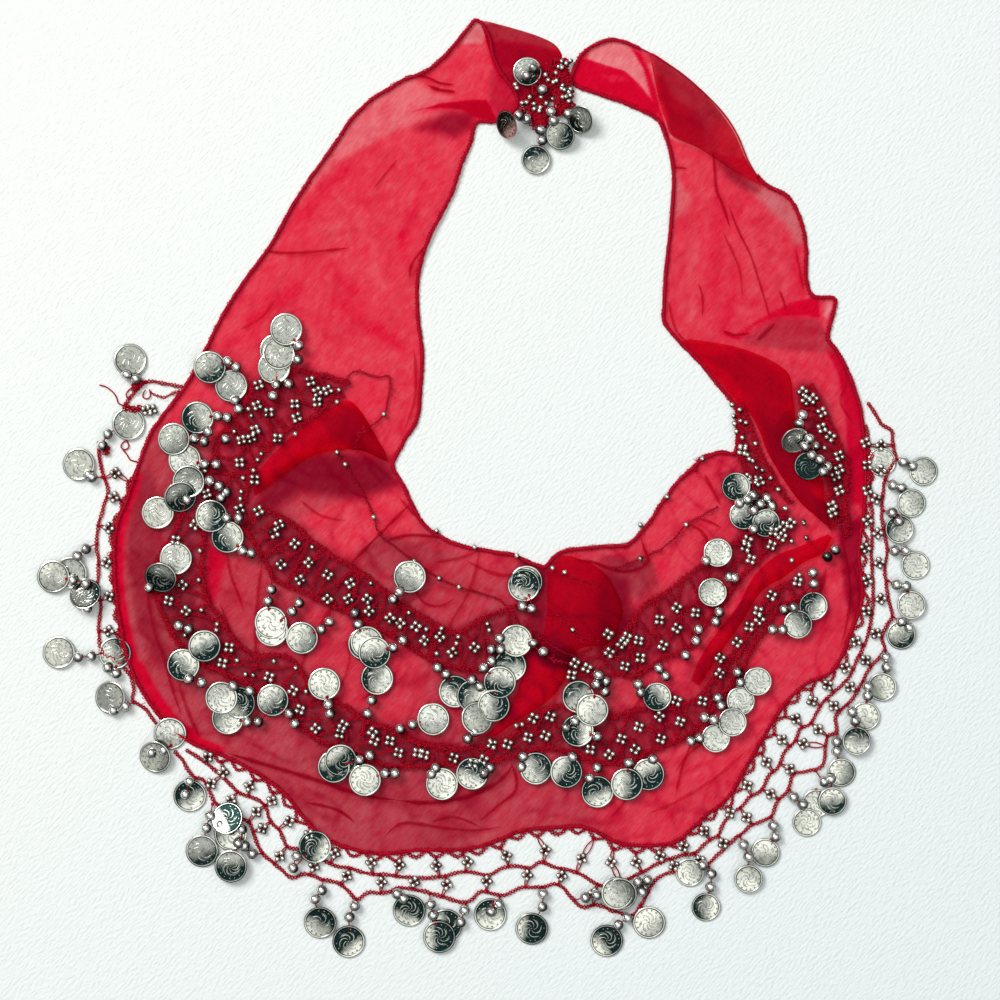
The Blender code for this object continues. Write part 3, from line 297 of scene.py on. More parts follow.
def chiffon_material(name):
    """Sheer cloth that reads how many threads lie together, and how deep its shade is, from its points."""
    made, tree, output = new_material(name)
    closeness = node(tree, "Attribute", (-1300, 250), attribute_name="darkening")
    shade = node(tree, "Attribute", (-700, -450), attribute_name="shade")
    crepe = node(tree, "Group", (-750, -250), node_tree=CREPE, Grain_size=1300.0, Crinkle_size=190.0)
    spot = node(tree, "TexCoord", (-1700, 0))
    bias = node(tree, "Mapping", (-1500, 0), vector_type="TEXTURE", Rotation=(0.0, 0.0, 0.9),
                Scale=(2.6, 0.8, 1.0))
    gather = node(tree, "TexNoise", (-1300, 0), Scale=400.0, Detail=4.0, Roughness=0.65, Distortion=0.3)
    uneven = node(tree, "MapRange", (-1050, 0), From_Min=0.3, From_Max=0.7, To_Min=-0.10, To_Max=0.10)
    total = node(tree, "Math", (-850, 150), operation="ADD")
    tint = colour_ramp(tree, (-650, 150), TINTS)
    shaded = node(tree, "Mix", (-350, 50), data_type="RGBA", blend_type="MULTIPLY", Factor=1.0)
    bump = node(tree, "Bump", (-450, -250), Strength=0.4, Distance=0.0005)
    thread = node(tree, "BsdfPrincipled", (-100, -250), Base_Color=CHIFFON_RED, Roughness=0.6,
                  Specular_IOR_Level=0.08)
    clear = node(tree, "BsdfTransparent", (-100, 100))
    both = node(tree, "MixShader", (300, 0), Fac=COVER)
    wire(tree, (spot, "Object", bias, "Vector"), (bias, "Vector", gather, "Vector"),
         (gather, "Fac", uneven, "Value"), (closeness, "Fac", total, 0), (uneven, "Result", total, 1),
         (total, 0, tint, "Fac"), (tint, "Color", shaded, FIRST_COLOUR),
         (shade, "Fac", shaded, SECOND_COLOUR), (crepe, "Height", bump, "Height"),
         (bump, "Normal", thread, "Normal"), (shaded, MIXED_COLOUR, clear, "Color"),
         (clear, "BSDF", both, 1), (thread, "BSDF", both, 2), (both, "Shader", output, "Surface"))
    return made


CHIFFON = chiffon_material("chiffon")
print("finish:", CHIFFON.name)

# %% Thread
def thread_material(name, dark, light):
    """Matt twisted thread, lighter where its fibres stand up."""
    made, tree, output = new_material(name)
    place = node(tree, "TexCoord", (-900, 0))
    fibres = node(tree, "TexNoise", (-650, 0), Scale=1500.0, Detail=2.0, Roughness=0.6)
    colour = colour_ramp(tree, (-400, 100), {0.3: dark, 0.7: light})
    bump = node(tree, "Bump", (-150, -250), Strength=0.5, Distance=0.0003)
    shader = node(tree, "BsdfPrincipled", (200, 0), Roughness=0.8, Specular_IOR_Level=0.08)
    wire(tree, (place, "Object", fibres, "Vector"), (fibres, "Fac", colour, "Fac"),
         (fibres, "Fac", bump, "Height"), (colour, "Color", shader, "Base Color"),
         (bump, "Normal", shader, "Normal"), (shader, "BSDF", output, "Surface"))
    return made


CRIMSON = thread_material("crimson_thread", (0.15, 0.0, 0.005, 1.0), (0.62, 0.003, 0.026, 1.0))
HEM_RED = thread_material("hem_thread", (0.20, 0.0, 0.008, 1.0), (0.62, 0.003, 0.028, 1.0))
# The stray fibres are a lighter red than the thread they stand off: a painted highlight.
FIBRE_HIGHLIGHT_RED = thread_material("fibre_highlight_red", (0.34, 0.0, 0.012, 1.0), (0.78, 0.012, 0.045, 1.0))
print("finishes:", CRIMSON.name, HEM_RED.name, FIBRE_HIGHLIGHT_RED.name)

# %% Silver
FULL_TARNISH = 0.745


def patina_group():
    """Metal colour and roughness from how dark a point is made (hollows and tarnish, painted shade and
    painted reflections), with fine scratches.
    """
    group, start, end = new_group("patina", {"Depth": 0.0, "Wear size": 260.0}, ["Tarnish", "Roughness"])
    place = node(group, "TexCoord", (-900, -200))
    wear = node(group, "TexNoise", (-600, -100), Detail=3.0, Roughness=0.6)
    uneven = node(group, "Math", (-350, 0), operation="MULTIPLY_ADD", use_clamp=True)
    uneven.inputs[1].default_value = 0.5
    lower = node(group, "Math", (-150, 0), operation="SUBTRACT", use_clamp=True)
    lower.inputs[1].default_value = 0.25
    rough = node(group, "MapRange", (0, -200), To_Min=0.14, To_Max=0.42)
    wire(group, (place, "Object", wear, "Vector"), (start, "Wear size", wear, "Scale"),
         (wear, "Fac", uneven, 0), (start, "Depth", uneven, 2), (uneven, 0, lower, 0),
         (lower, 0, rough, "Value"), (lower, 0, end, "Tarnish"), (rough, "Result", end, "Roughness"))
    return group


PATINA = patina_group()


def silver_material(name, bright, dark, wear_size, metallic=1.0):
    """Bright plating that goes dark in its hollows and with its tarnish, and where points carry painted shade
    and painted reflections.
    """
    made, tree, output = new_material(name)
    darkening = node(tree, "Attribute", (-900, 0), attribute_name="darkening")
    patina = node(tree, "Group", (-650, 0), node_tree=PATINA, Wear_size=wear_size)
    colour = colour_ramp(tree, (-350, 150), {0.0: bright, FULL_TARNISH: dark})
    shader = node(tree, "BsdfPrincipled", (100, 0), Metallic=metallic)
    wire(tree, (darkening, "Fac", patina, "Depth"), (patina, "Tarnish", colour, "Fac"),
         (colour, "Color", shader, "Base Color"), (patina, "Roughness", shader, "Roughness"),
         (shader, "BSDF", output, "Surface"))
    return made


COIN_SILVER = silver_material("coin_silver", (0.76, 0.77, 0.68, 1.0), (0.008, 0.022, 0.021, 1.0), 260.0)
BEAD_SILVER = silver_material("bead_silver", (0.94, 0.94, 0.90, 1.0), (0.01, 0.01, 0.01, 1.0), 500.0, 0.9)
SEED_SILVER = silver_material("seed_silver", (0.88, 0.85, 0.77, 1.0), (0.05, 0.04, 0.03, 1.0), 500.0, 0.8)
print("finishes:", COIN_SILVER.name, BEAD_SILVER.name, SEED_SILVER.name)

# %% [markdown]
# ## Heights
#
# Everything that lies on the cloth needs to know how high the cloth is there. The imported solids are
# scanned once from above into a grid of heights, and every bead, thread and coin then reads that grid.

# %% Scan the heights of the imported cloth
GRID_STEP = 2.0
SCAN_MARGIN = 10
SCAN_FROM = 50.0
CLOTH_NODES = ["tie_left", "body", "tie_right", "tie_left_turn", "tie_right_turn",
               "fold_left", "fold_centre", "fold_right", "fold_right_return"]


def scan_heights(names):
    """Heights in millimetres over the CAD box, as a grid of columns and rows."""
    trees = []
    for name in names:
        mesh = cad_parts[name].data
        corners = [v.co / MM for v in mesh.vertices]
        trees.append(BVHTree.FromPolygons(corners, [tuple(p.vertices) for p in mesh.polygons]))
    low = [cad_box[0][k] / MM - SCAN_MARGIN for k in (0, 1)]
    columns, rows = (int((cad_box[1][k] / MM + SCAN_MARGIN - low[k]) / GRID_STEP) + 2 for k in (0, 1))
    heights = np.zeros((columns, rows))
    for i in range(columns):
        for j in range(rows):
            start = Vector((low[0] + i * GRID_STEP, low[1] + j * GRID_STEP, SCAN_FROM))
            for tree in trees:
                hit = tree.ray_cast(start, Vector((0, 0, -1)))[0]
                if hit is not None:
                    heights[i, j] = max(heights[i, j], hit.z)
    return low, heights


GRID_LOW, GRID = scan_heights(CLOTH_NODES)
print("highest cloth in mm:", round(float(GRID.max()), 1))

# %% Read the heights
def ground(x, y):
    """Height of the cloth at places, between the grid's points."""
    u = np.clip((np.asarray(x, float) - GRID_LOW[0]) / GRID_STEP, 0, GRID.shape[0] - 1.001)
    v = np.clip((np.asarray(y, float) - GRID_LOW[1]) / GRID_STEP, 0, GRID.shape[1] - 1.001)
    i, j = u.astype(int), v.astype(int)
    s, t = u - i, v - j
    low = GRID[i, j] * (1 - s) + GRID[i + 1, j] * s
    high = GRID[i, j + 1] * (1 - s) + GRID[i + 1, j + 1] * s
    return low * (1 - t) + high * t


def ground_under(x, y, reach):
    """The highest cloth within reach of a place."""
    turns = np.arange(8) * pi / 4
    around = ground(x + reach * np.cos(turns), y + reach * np.sin(turns))
    return float(max(around.max(), ground([x], [y])[0]))


print("cloth at the middle of the bottom in mm:", round(float(ground([0], [-120])[0]), 1))

# %% [markdown]
# ## Making meshes
#
# Thousands of stitches, beads and coins are made as a few joined meshes. A Heap collects points
# and faces from small shapes, and turns them into one object at the end. Working on whole arrays
# keeps this quick, where one Blender object a bead would be slow to make and to render.

# %% Faces between rows and rings of points
def grid_faces(rows, columns):
    """Quads of a grid of points stored row after row."""
    i = np.arange(rows - 1)[:, None] * columns
    j = np.arange(columns - 1)[None, :]
    return np.stack([i + j, i + j + 1, i + j + 1 + columns, i + j + columns], axis=-1).reshape(-1, 4)


def ring_faces(rings, around):
    """Quads between closed rings of points stored ring after ring."""
    i = np.arange(rings - 1)[:, None] * around
    j = np.arange(around)[None, :]
    n = (j + 1) % around
    return np.stack([i + j, i + j + around, i + n + around, i + n], axis=-1).reshape(-1, 4)


def fan_faces(tip, start, around, far_end=False):
    """Triangles from a ring of points to a tip, written as quads whose last corner comes twice."""
    j = start + np.arange(around)
    n = start + (np.arange(around) + 1) % around
    first, second = (n, j) if far_end else (j, n)
    return np.stack([j * 0 + tip, first, second, second], axis=-1)


print("a grid of 3 by 4 points has", len(grid_faces(3, 4)), "faces")

# %% Heap
class Heap:
    """Collects points in millimetres, faces of four corners, and a depth and a shade for each point."""

    def __init__(self):
        self.points, self.faces, self.count = [], [], 0
        self.values = {"darkening": [], "shade": []}

    def add(self, points, faces, darkening=0.0, shade=1.0):
        """Adds a small shape; its faces count its own points from 0."""
        points = np.asarray(points, float)
        self.points.append(points)
        self.faces.append(np.asarray(faces, int) + self.count)
        for label, value in (("darkening", darkening), ("shade", shade)):
            self.values[label].append(np.broadcast_to(np.asarray(value, float), len(points)))
        self.count += len(points)

    def add_grid(self, x, y, z, darkening, shade):
        """Adds a surface whose points are stored row after row."""
        points = np.stack([x, y, z], axis=-1).reshape(-1, 3)
        self.add(points, grid_faces(*x.shape), darkening.ravel(), shade.ravel())

    def object(self, name, material, slot):
        """One smooth mesh object that rides on the scarf's only body."""
        faces = np.concatenate(self.faces)
        three = faces[:, 2] == faces[:, 3]
        polygons = [tuple(f[:3]) if t else tuple(f) for f, t in zip(faces.tolist(), three)]
        mesh = bpy.data.meshes.new(name)
        mesh.from_pydata((np.concatenate(self.points) * MM).tolist(), [], polygons)
        for label, values in self.values.items():
            layer = mesh.attributes.new(label, "FLOAT", "POINT")
            layer.data.foreach_set("value", np.concatenate(values).astype(np.float32))
        mesh.materials.append(material)
        mesh.shade_smooth()
        made = bpy.data.objects.new(name, mesh)
        bpy.context.scene.collection.objects.link(made)
        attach(made, "root")
        print(f"{name}: {2 * len(polygons) - int(three.sum())} triangles")
        return made


print("a heap keeps for each point:", list(Heap().values))

# %% Lines
def smooth_line(points, steps):
    """Points on a Catmull-Rom curve through a line of points of any number of columns."""
    points = np.asarray(points, float)
    before = np.vstack([points[:1], points[:-2]])
    here, there = points[:-1], points[1:]
    after = np.vstack([points[2:], points[-1:]])
    t = (np.arange(steps) / steps)[None, :, None]
    p, q, r, s = (a[:, None, :] for a in (before, here, there, after))
    bend, twist = 2 * p - 5 * q + 4 * r - s, 3 * q - p - 3 * r + s
    curve = 0.5 * (2 * q + (r - p) * t + bend * t ** 2 + twist * t ** 3)
    return np.vstack([curve.reshape(-1, points.shape[1]), points[-1:]])


def even_line(points, step):
    """The same line with its points a step apart."""
    points = np.asarray(points, float)
    lengths = np.hypot(*np.diff(points[:, :2], axis=0).T)
    run = np.concatenate([[0.0], np.cumsum(lengths)])
    count = max(int(run[-1] / step), 2)
    places = np.linspace(0, run[-1], count + 1)
    return np.column_stack([np.interp(places, run, points[:, k]) for k in range(points.shape[1])])


def directions(line):
    """Unit tangents of a line of points."""
    along = np.gradient(line, axis=0)
    return along / np.maximum(np.linalg.norm(along, axis=1, keepdims=True), 1e-9)


def sideways(line):
    """Unit vectors to the left of a line's course, in the plane."""
    along = directions(line[:, :2])
    return np.column_stack([-along[:, 1], along[:, 0]])


def nearest_number(line, x, y):
    """Which point of a line is nearest to a place."""
    return int(np.argmin(np.hypot(line[:, 0] - x, line[:, 1] - y)))


def nearest(line, x, y):
    """The point of a line nearest to a place."""
    return line[nearest_number(line, x, y), :2]


def part_of(line, start, end):
    """The stretch of a line between its points nearest two places."""
    line = np.asarray(line, float)
    first, last = sorted((nearest_number(line, *start), nearest_number(line, *end)))
    return line[first:last + 1]


def lift(line, height):
    """A flat line of points as one in space that lies on the cloth."""
    return np.column_stack([line, ground(line[:, 0], line[:, 1]) + height])


print("a line of 30 mm at steps of 4 mm has", len(even_line([(0, 0), (30, 0)], 4)), "points")

# %% Tubes and turns
STEEP = 0.05


def turned(points, angle):
    """Points in space, turned about Z."""
    c, s = cos(angle), sin(angle)
    return points @ np.array([[c, s, 0], [-s, c, 0], [0, 0, 1]])


def tube(heap, line, radius, sides=4):
    """A tube with closed ends along a line in space."""
    line = np.asarray(line, float)
    along = directions(line)
    side = np.cross(along, (0.0, 0.0, 1.0))
    side[np.linalg.norm(side, axis=1) < STEEP] = (1.0, 0.0, 0.0)
    side /= np.linalg.norm(side, axis=1, keepdims=True)
    up = np.cross(side, along)
    turns = np.arange(sides) * 2 * pi / sides
    ring = side[:, None, :] * np.cos(turns)[None, :, None] + up[:, None, :] * np.sin(turns)[None, :, None]
    points = (line[:, None, :] + ring * radius).reshape(-1, 3)
    ends = []
    for start in (0, (len(line) - 1) * sides):
        for j in range(1, sides - 1):
            near, far = (j, j + 1) if start == 0 else (j + 1, j)
            ends.append((start, start + near, start + far, start + far))
    heap.add(points, np.vstack([ring_faces(len(line), sides), ends]))


print("a tube of 2 points has", len(ring_faces(2, 4)), "faces round it")

# %% [markdown]
# ## The crescent of chiffon
#
# The whole scarf is one piece of cloth, so it is one sheet here too, from the tip of one tie to the
# other. It is lofted through its sections as a fine grid, and raised by its creases. A cloth simulation
# would lose the places of the folds, so the creases are given in a table and softened by a little noise.

# %% Sections of the crescent
# X and Y of the waist edge, then X and Y of the hem, from the left tie's tip to the right one's.
CRESCENT = [
    (-4.5, 270.5, -8, 271.5), (0.5, 261.5, -17.5, 259.5), (2.5, 251.5, -28, 248), (7, 241.5, -37.5, 241),
    (15, 230, -48.5, 237), (16, 220.5, -58.5, 231), (5, 213, -67, 226), (-7, 212, -73.5, 220),
    (-10.5, 200.5, -80, 213), (-15.5, 189, -91, 196.5), (-21, 172, -102.5, 180.5),
    (-28, 158, -113.5, 163.5), (-35.5, 143, -126, 141), (-41, 122.5, -141, 120.5), (-41, 100, -154, 100),
    (-38.5, 78, -165, 78), (-39.5, 58.5, -176, 58.5), (-41.5, 40.5, -189, 41.5), (-49, 27.5, -196.5, 30),
    (-55.5, 14, -204, 9.5), (-52.5, 6.5, -209.5, -6.5), (-49, 1, -216, -25), (-45, -8.5, -216.5, -53),
    (-39, -19, -213.5, -77), (-33, -25, -209, -99), (-27.5, -28, -200.5, -117.5), (-22.5, -31, -187, -136),
    (-16.5, -33, -172.5, -147), (-10.5, -34.5, -154, -154.5), (-5, -35.5, -135.5, -164),
    (-1, -36, -118.5, -176.5), (3, -37, -107.5, -190), (7, -37.5, -95, -202.5), (11.5, -38, -74.5, -210),
    (15.5, -39, -57, -211.5), (19.5, -41, -40.5, -209.5), (24, -43, -13, -209), (29.5, -45, 5, -204),
    (33.5, -45, 18.5, -198.5), (38.5, -39.5, 38, -196.5), (45, -36, 57, -196.5), (54, -35, 78, -206),
    (64.5, -34, 103.5, -206), (72, -33.5, 113.5, -201), (79, -33, 126.5, -189), (84.5, -30, 139, -179),
    (88, -26, 149.5, -161), (91.5, -22, 158, -146.5), (95, -17.5, 167, -131.5), (97.5, -13, 176, -120),
    (100.5, -8.5, 186, -112), (104, -4, 197, -107.5), (107.5, 1, 204.5, -97.5), (111.5, 5.5, 209.5, -84.5),
    (117, 10.5, 216.5, -64.5), (123, 16, 215.5, -48), (129.5, 19.5, 214.5, -37), (135.5, 21, 218, -9),
    (143, 20.5, 218.5, 14), (144.5, 34, 217, 34), (144.5, 45.5, 215.5, 45.5), (140, 52, 213, 54),
    (132.5, 61, 209.5, 64.5), (125, 70.5, 205.5, 73.5), (117, 79, 200.5, 81.5), (110.5, 85.5, 196.5, 87.5),
    (102, 96.5, 199, 99), (102, 106.5, 200.5, 110), (102, 111.5, 188, 111.5), (103, 126, 184, 122.5),
    (104.5, 140, 184, 139.5), (106, 154, 181, 155), (107, 167.5, 173.5, 169), (107.5, 179.5, 160, 176.5),
    (106.5, 190.5, 151, 189), (104, 200.5, 144.5, 204.5), (98.5, 213.5, 134.5, 219.5),
    (86, 220.5, 117, 236.5), (76.5, 224.5, 102.5, 247), (67.5, 227.5, 88, 255), (59, 230.5, 71.5, 260),
    (51, 233.5, 57.5, 254.5), (47.5, 237.5, 51.5, 247.5),
]
print("sections of cloth:", len(CRESCENT))

# %% Creases
SHEET_TOP = 1.15
# X and Y of both ends, then width and height.
CREASES = [
    (-196, -33, -188, -123, 7, 1.4), (-184, -104, -159, -147, 6, 1.2), (-159, -44, -144, -94, 7, 1.4),
    (-131, -60, -135, -106, 6, 1.2), (-108, -65, -87, -117, 8, 1.2), (-147, -153, -83, -176, 8, 1.8),
    (-83, -176, -15, -178, 8, 1.8), (-60, -199, 4, -199, 6, 1), (14, -153, -4, -192, 7, 1.6),
    (88, -178, 67, -210, 7, 1.2), (117, -149, 110, -166, 6, 1.2), (149, -153, 94, -188, 9, 1.4),
    (181, -88, 163, -123, 7, 1.2), (201, -59, 181, -117, 9, 1.2), (211, 63, 213, 22, 6, 1.4),
    (-83, -41, -46, -7, 6, 1.4), (-28, -88, -8, -37, 6, 1.2), (88, -30, 94, -50, 5, 1),
    (-28, 159, -79, 73, 9, 1.6), (-11, 196, -48, 131, 7, 1.4), (-79, 179, -118, 109, 8, 1.4),
    (-109, 147, -141, 83, 8, 1.2), (-34, 240, -54, 191, 7, 1.4), (190, 109, 140, 87, 6, 1.8),
    (135, 176, 125, 105, 8, 1.4), (160, 167, 149, 106, 8, 1.4), (118, 180, 113, 109, 6, 1.2),
    (88, 240, 123, 196, 7, 1.2), (65, 243, 94, 225, 5, 1.2), (-46, -41, -92, -88, 7, 1.2),
    (123, -18, 88, -33, 5, 1), (-51, -123, -80, -157, 7, 1),
]
FINE_CREASES = [
    (-109, 138, -131, 109, 5, 0.7), (-92, 150, -109, 92, 6, 0.6), (-63, 196, -75, 144, 5, 0.7),
    (-40, 220, -43, 173, 5, 0.6), (-25, 228, -21, 196, 5, 0.5), (-63, 109, -86, 80, 6, 0.7),
    (-51, 138, -52, 92, 5, 0.5), (-196, 11, -173, -7, 5, 0.6), (-202, -65, -195, -99, 5, 0.6),
    (-167, -59, -160, -99, 5, 0.5), (-98, -76, -75, -117, 5, 0.7), (-40, -117, -46, -146, 5, 0.6),
    (-11, -88, -7, -123, 5, 0.6), (33, -163, 41, -186, 5, 0.6), (65, -163, 88, -175, 6, 0.7),
    (123, -146, 140, -123, 5, 0.6), (163, -99, 181, -117, 5, 0.5), (192, -76, 210, -88, 5, 0.6),
    (146, 156, 140, 109, 5, 0.7), (123, 138, 117, 98, 5, 0.5), (169, 150, 175, 115, 5, 0.5),
    (204, 51, 207, 28, 4, 0.6), (117, 225, 140, 196, 5, 0.6), (76, 249, 99, 231, 5, 0.5),
]


def beside(x, y, start_x, start_y, end_x, end_y):
    """How far along a straight line places lie, as a share of it, and how far from it."""
    dx, dy = end_x - start_x, end_y - start_y
    t = np.clip(((x - start_x) * dx + (y - start_y) * dy) / max(dx * dx + dy * dy, 1e-9), 0, 1)
    return t, np.hypot(x - start_x - t * dx, y - start_y - t * dy)


def crease_rise(x, y, table):
    """How far the creases raise the cloth at places."""
    rise = np.zeros_like(x)
    for *ends, width, height in table:
        t, away = beside(x, y, *ends)
        taper = 0.35 + 0.65 * np.sin(pi * t)
        rise += height * taper * np.clip(1 - (away / width) ** 2, 0, None) ** 2
    return rise


def soft_noise(x, y, size, seed):
    """Smooth unevenness between -1 and 1, from a few sine waves."""
    rng = np.random.default_rng(seed)
    total = np.zeros_like(x)
    for _ in range(7):
        turn, phase = rng.uniform(0, 2 * pi, 2)
        wave = 2 * pi / (size * rng.uniform(0.6, 1.6))
        total += np.sin((x * np.cos(turn) + y * np.sin(turn)) * wave + phase)
    return total / 7


def sheet_height(x, y):
    """Height of the laid crescent: its creases, and a little unevenness."""
    z = SHEET_TOP + crease_rise(x, y, CREASES) + crease_rise(x, y, FINE_CREASES)
    return z + 0.22 * soft_noise(x, y, 26.0, 3) + 0.10 * soft_noise(x, y, 9.0, 4)


print("creases:", len(CREASES) + len(FINE_CREASES))

# %% [markdown]
# ## How light and dark the cloth is
#
# Gathered cloth looks deeper, stretched cloth paler, and the cloth under the lace is in its shade. The
# bands of lace, patches and streaks say where. They are stored in the points of the sheet, because
# a painted image would have to be fitted to it and would blur its edges.

# %% Where the lace bands lie
# For each band the number of its cells, then X and Y of its upper edge and X and Y of its lower edge.
BANDS = {
    "lace_upper_left": (2, [
        (-80.5, 60, -84.5, 55.5), (-93, 64, -99, 46), (-107, 68, -113, 37), (-122, 66.5, -125.5, 25),
        (-135, 60.5, -135.5, 15), (-144, 44.5, -139, 8.5), (-154, 30.5, -140, 2.5),
        (-158.5, 15.5, -140.5, -2), (-162, -0.5, -142, -7),
    ]),
    "lace_upper_middle": (1, [
        (-131.5, -8.5, -149, -18.5), (-118, -17, -133.5, -34.5), (-103.5, -30, -124, -51),
        (-89, -39.5, -106.5, -60), (-74.5, -49, -90, -68), (-60, -59.5, -74.5, -75.5),
        (-45.5, -68.5, -58.5, -82.5), (-31, -78.5, -43, -91.5), (-17.5, -83, -28, -100.5),
        (-4, -75, -12, -104), (9.5, -69.5, 4, -99.5), (22, -66.5, 18.5, -88),
    ]),
    "lace_upper_right": (2, [
        (64.5, -97, 56, -117), (78.5, -83, 71.5, -106.5), (85.5, -73, 85.5, -107),
        (95, -64.5, 100.5, -99.5), (106.5, -57.5, 116.5, -91.5), (118, -48.5, 126, -77.5),
        (129.5, -41.5, 139, -63.5), (143, -30, 148, -48.5), (156.5, -20, 159, -38),
        (172, -15, 174.5, -28.5),
    ]),
    "lace_tie_inner": (1, [
        (142, 48.5, 146.5, 47.5), (145.5, 35, 153, 34), (144.5, 22.5, 158, 20), (150.5, 10.5, 166, 5),
        (160, -2, 176, -8.5),
    ]),
    "lace_tie_outer": (1, [
        (182.5, 59.5, 186, 60), (180.5, 48.5, 193.5, 48.5), (181, 34, 201.5, 29.5),
        (187.5, 22.5, 207.5, 15.5), (197, 8.5, 208.5, 1.5), (197.5, -6.5, 208.5, -11.5),
        (200, -23, 207.5, -27),
    ]),
    "lace_lower": (2, [
        (-164.5, -14, -176, -14), (-165, -34.5, -187, -33.5), (-165.5, -55, -194.5, -56),
        (-160.5, -70.5, -190.5, -70.5), (-149, -84.5, -181, -88), (-136, -95.5, -165, -100.5),
        (-118, -97.5, -152, -107.5), (-107.5, -107.5, -135, -117), (-102, -117, -118, -129),
        (-89, -125.5, -103, -143), (-74, -133, -83, -151), (-58.5, -138, -66, -158.5),
        (-41, -147, -45, -161), (-23.5, -149.5, -27.5, -159), (-5, -149.5, -8.5, -162),
        (11.5, -143.5, 11.5, -155.5), (26, -133.5, 28.5, -150.5), (39.5, -126, 42.5, -151),
        (59, -131, 56.5, -157.5), (73.5, -131, 71, -160), (88, -127.5, 88.5, -155.5),
        (103.5, -126, 108.5, -146.5), (121, -122.5, 126, -134.5), (127.5, -113.5, 134.5, -120.5),
        (133, -104, 143.5, -106.5), (142, -94, 151.5, -93.5), (151, -81, 160.5, -81),
        (156.5, -70, 166, -71.5), (165, -62, 175, -66), (175, -54, 183, -60),
    ]),
}
# Middles of the clusters of four seed beads on the bands.
LACE_CLUSTERS = [
    (40, -88), (69, -84), (70, -95), (-163, -3), (-144, -12), (-133, -13), (-121, -21), (-124, -26),
    (-112, -32), (-120, -44), (-104, -43), (-93, -50), (-109, -53), (-80, -55), (-93, -64), (-81, -64),
    (-70, -64), (-69, -71), (-57, -75), (-51, -78), (-42, -80), (-37, -88), (-28, -86), (-21, -95),
    (-8, -92), (77, -90), (80, -86), (87, -88), (101, -91), (88, -98), (79, -103), (99, -76), (109, -69),
    (109, -81), (120, -72), (48, -108), (57, -104), (50, -101), (-150, -92), (-154, -101), (-127, -109),
    (-113, -117), (-109, -128), (-100, -139), (-86, -142), (-84, -137), (-67, -141), (-66, -146),
    (-57, -146), (-41, -153), (-37, -154), (-20, -156), (-9, -159), (11, -148), (23, -144), (26, -133),
    (36, -132), (33, -143), (59, -151), (70, -154), (77, -145), (87, -138), (85, -151), (100, -145),
    (99, -132), (111, -135), (109, -123), (120, -108), (124, -123), (134, -98), (134, -107), (144, -89),
    (156, -71), (157, -76), (151, -80), (164, -62), (179, -54), (150, -30), (149, -34), (152, -41),
    (-177, -56), (-185, -65), (-175, -71), (-170, -21), (-181, -30), (-103, 62), (-99, 56), (-99, 50),
    (-93, 57), (-112, 49), (-111, 41), (-127, 44), (-135, 34), (-122, 29), (-144, 15), (-135, 5),
    (-134, 48), (-133, 60), (184, 51), (193, 35), (203, 19), (203, 11), (203, -1), (199, -10), (147, 22),
    (153, 5), (-137, 29), (-143, 28), (-166, 11), (149, 6), (171, -22), (175, -20), (170, -28), (165, -25),
    (193, 44), (198, 30), (199, -14), (-3, -157), (157, 4), (164, -33), (201, 7), (182, 56), (188, 52),
    (2, -148), (-52, -153),
]
print("lace bands:", len(BANDS), "bead clusters on them:", len(LACE_CLUSTERS))
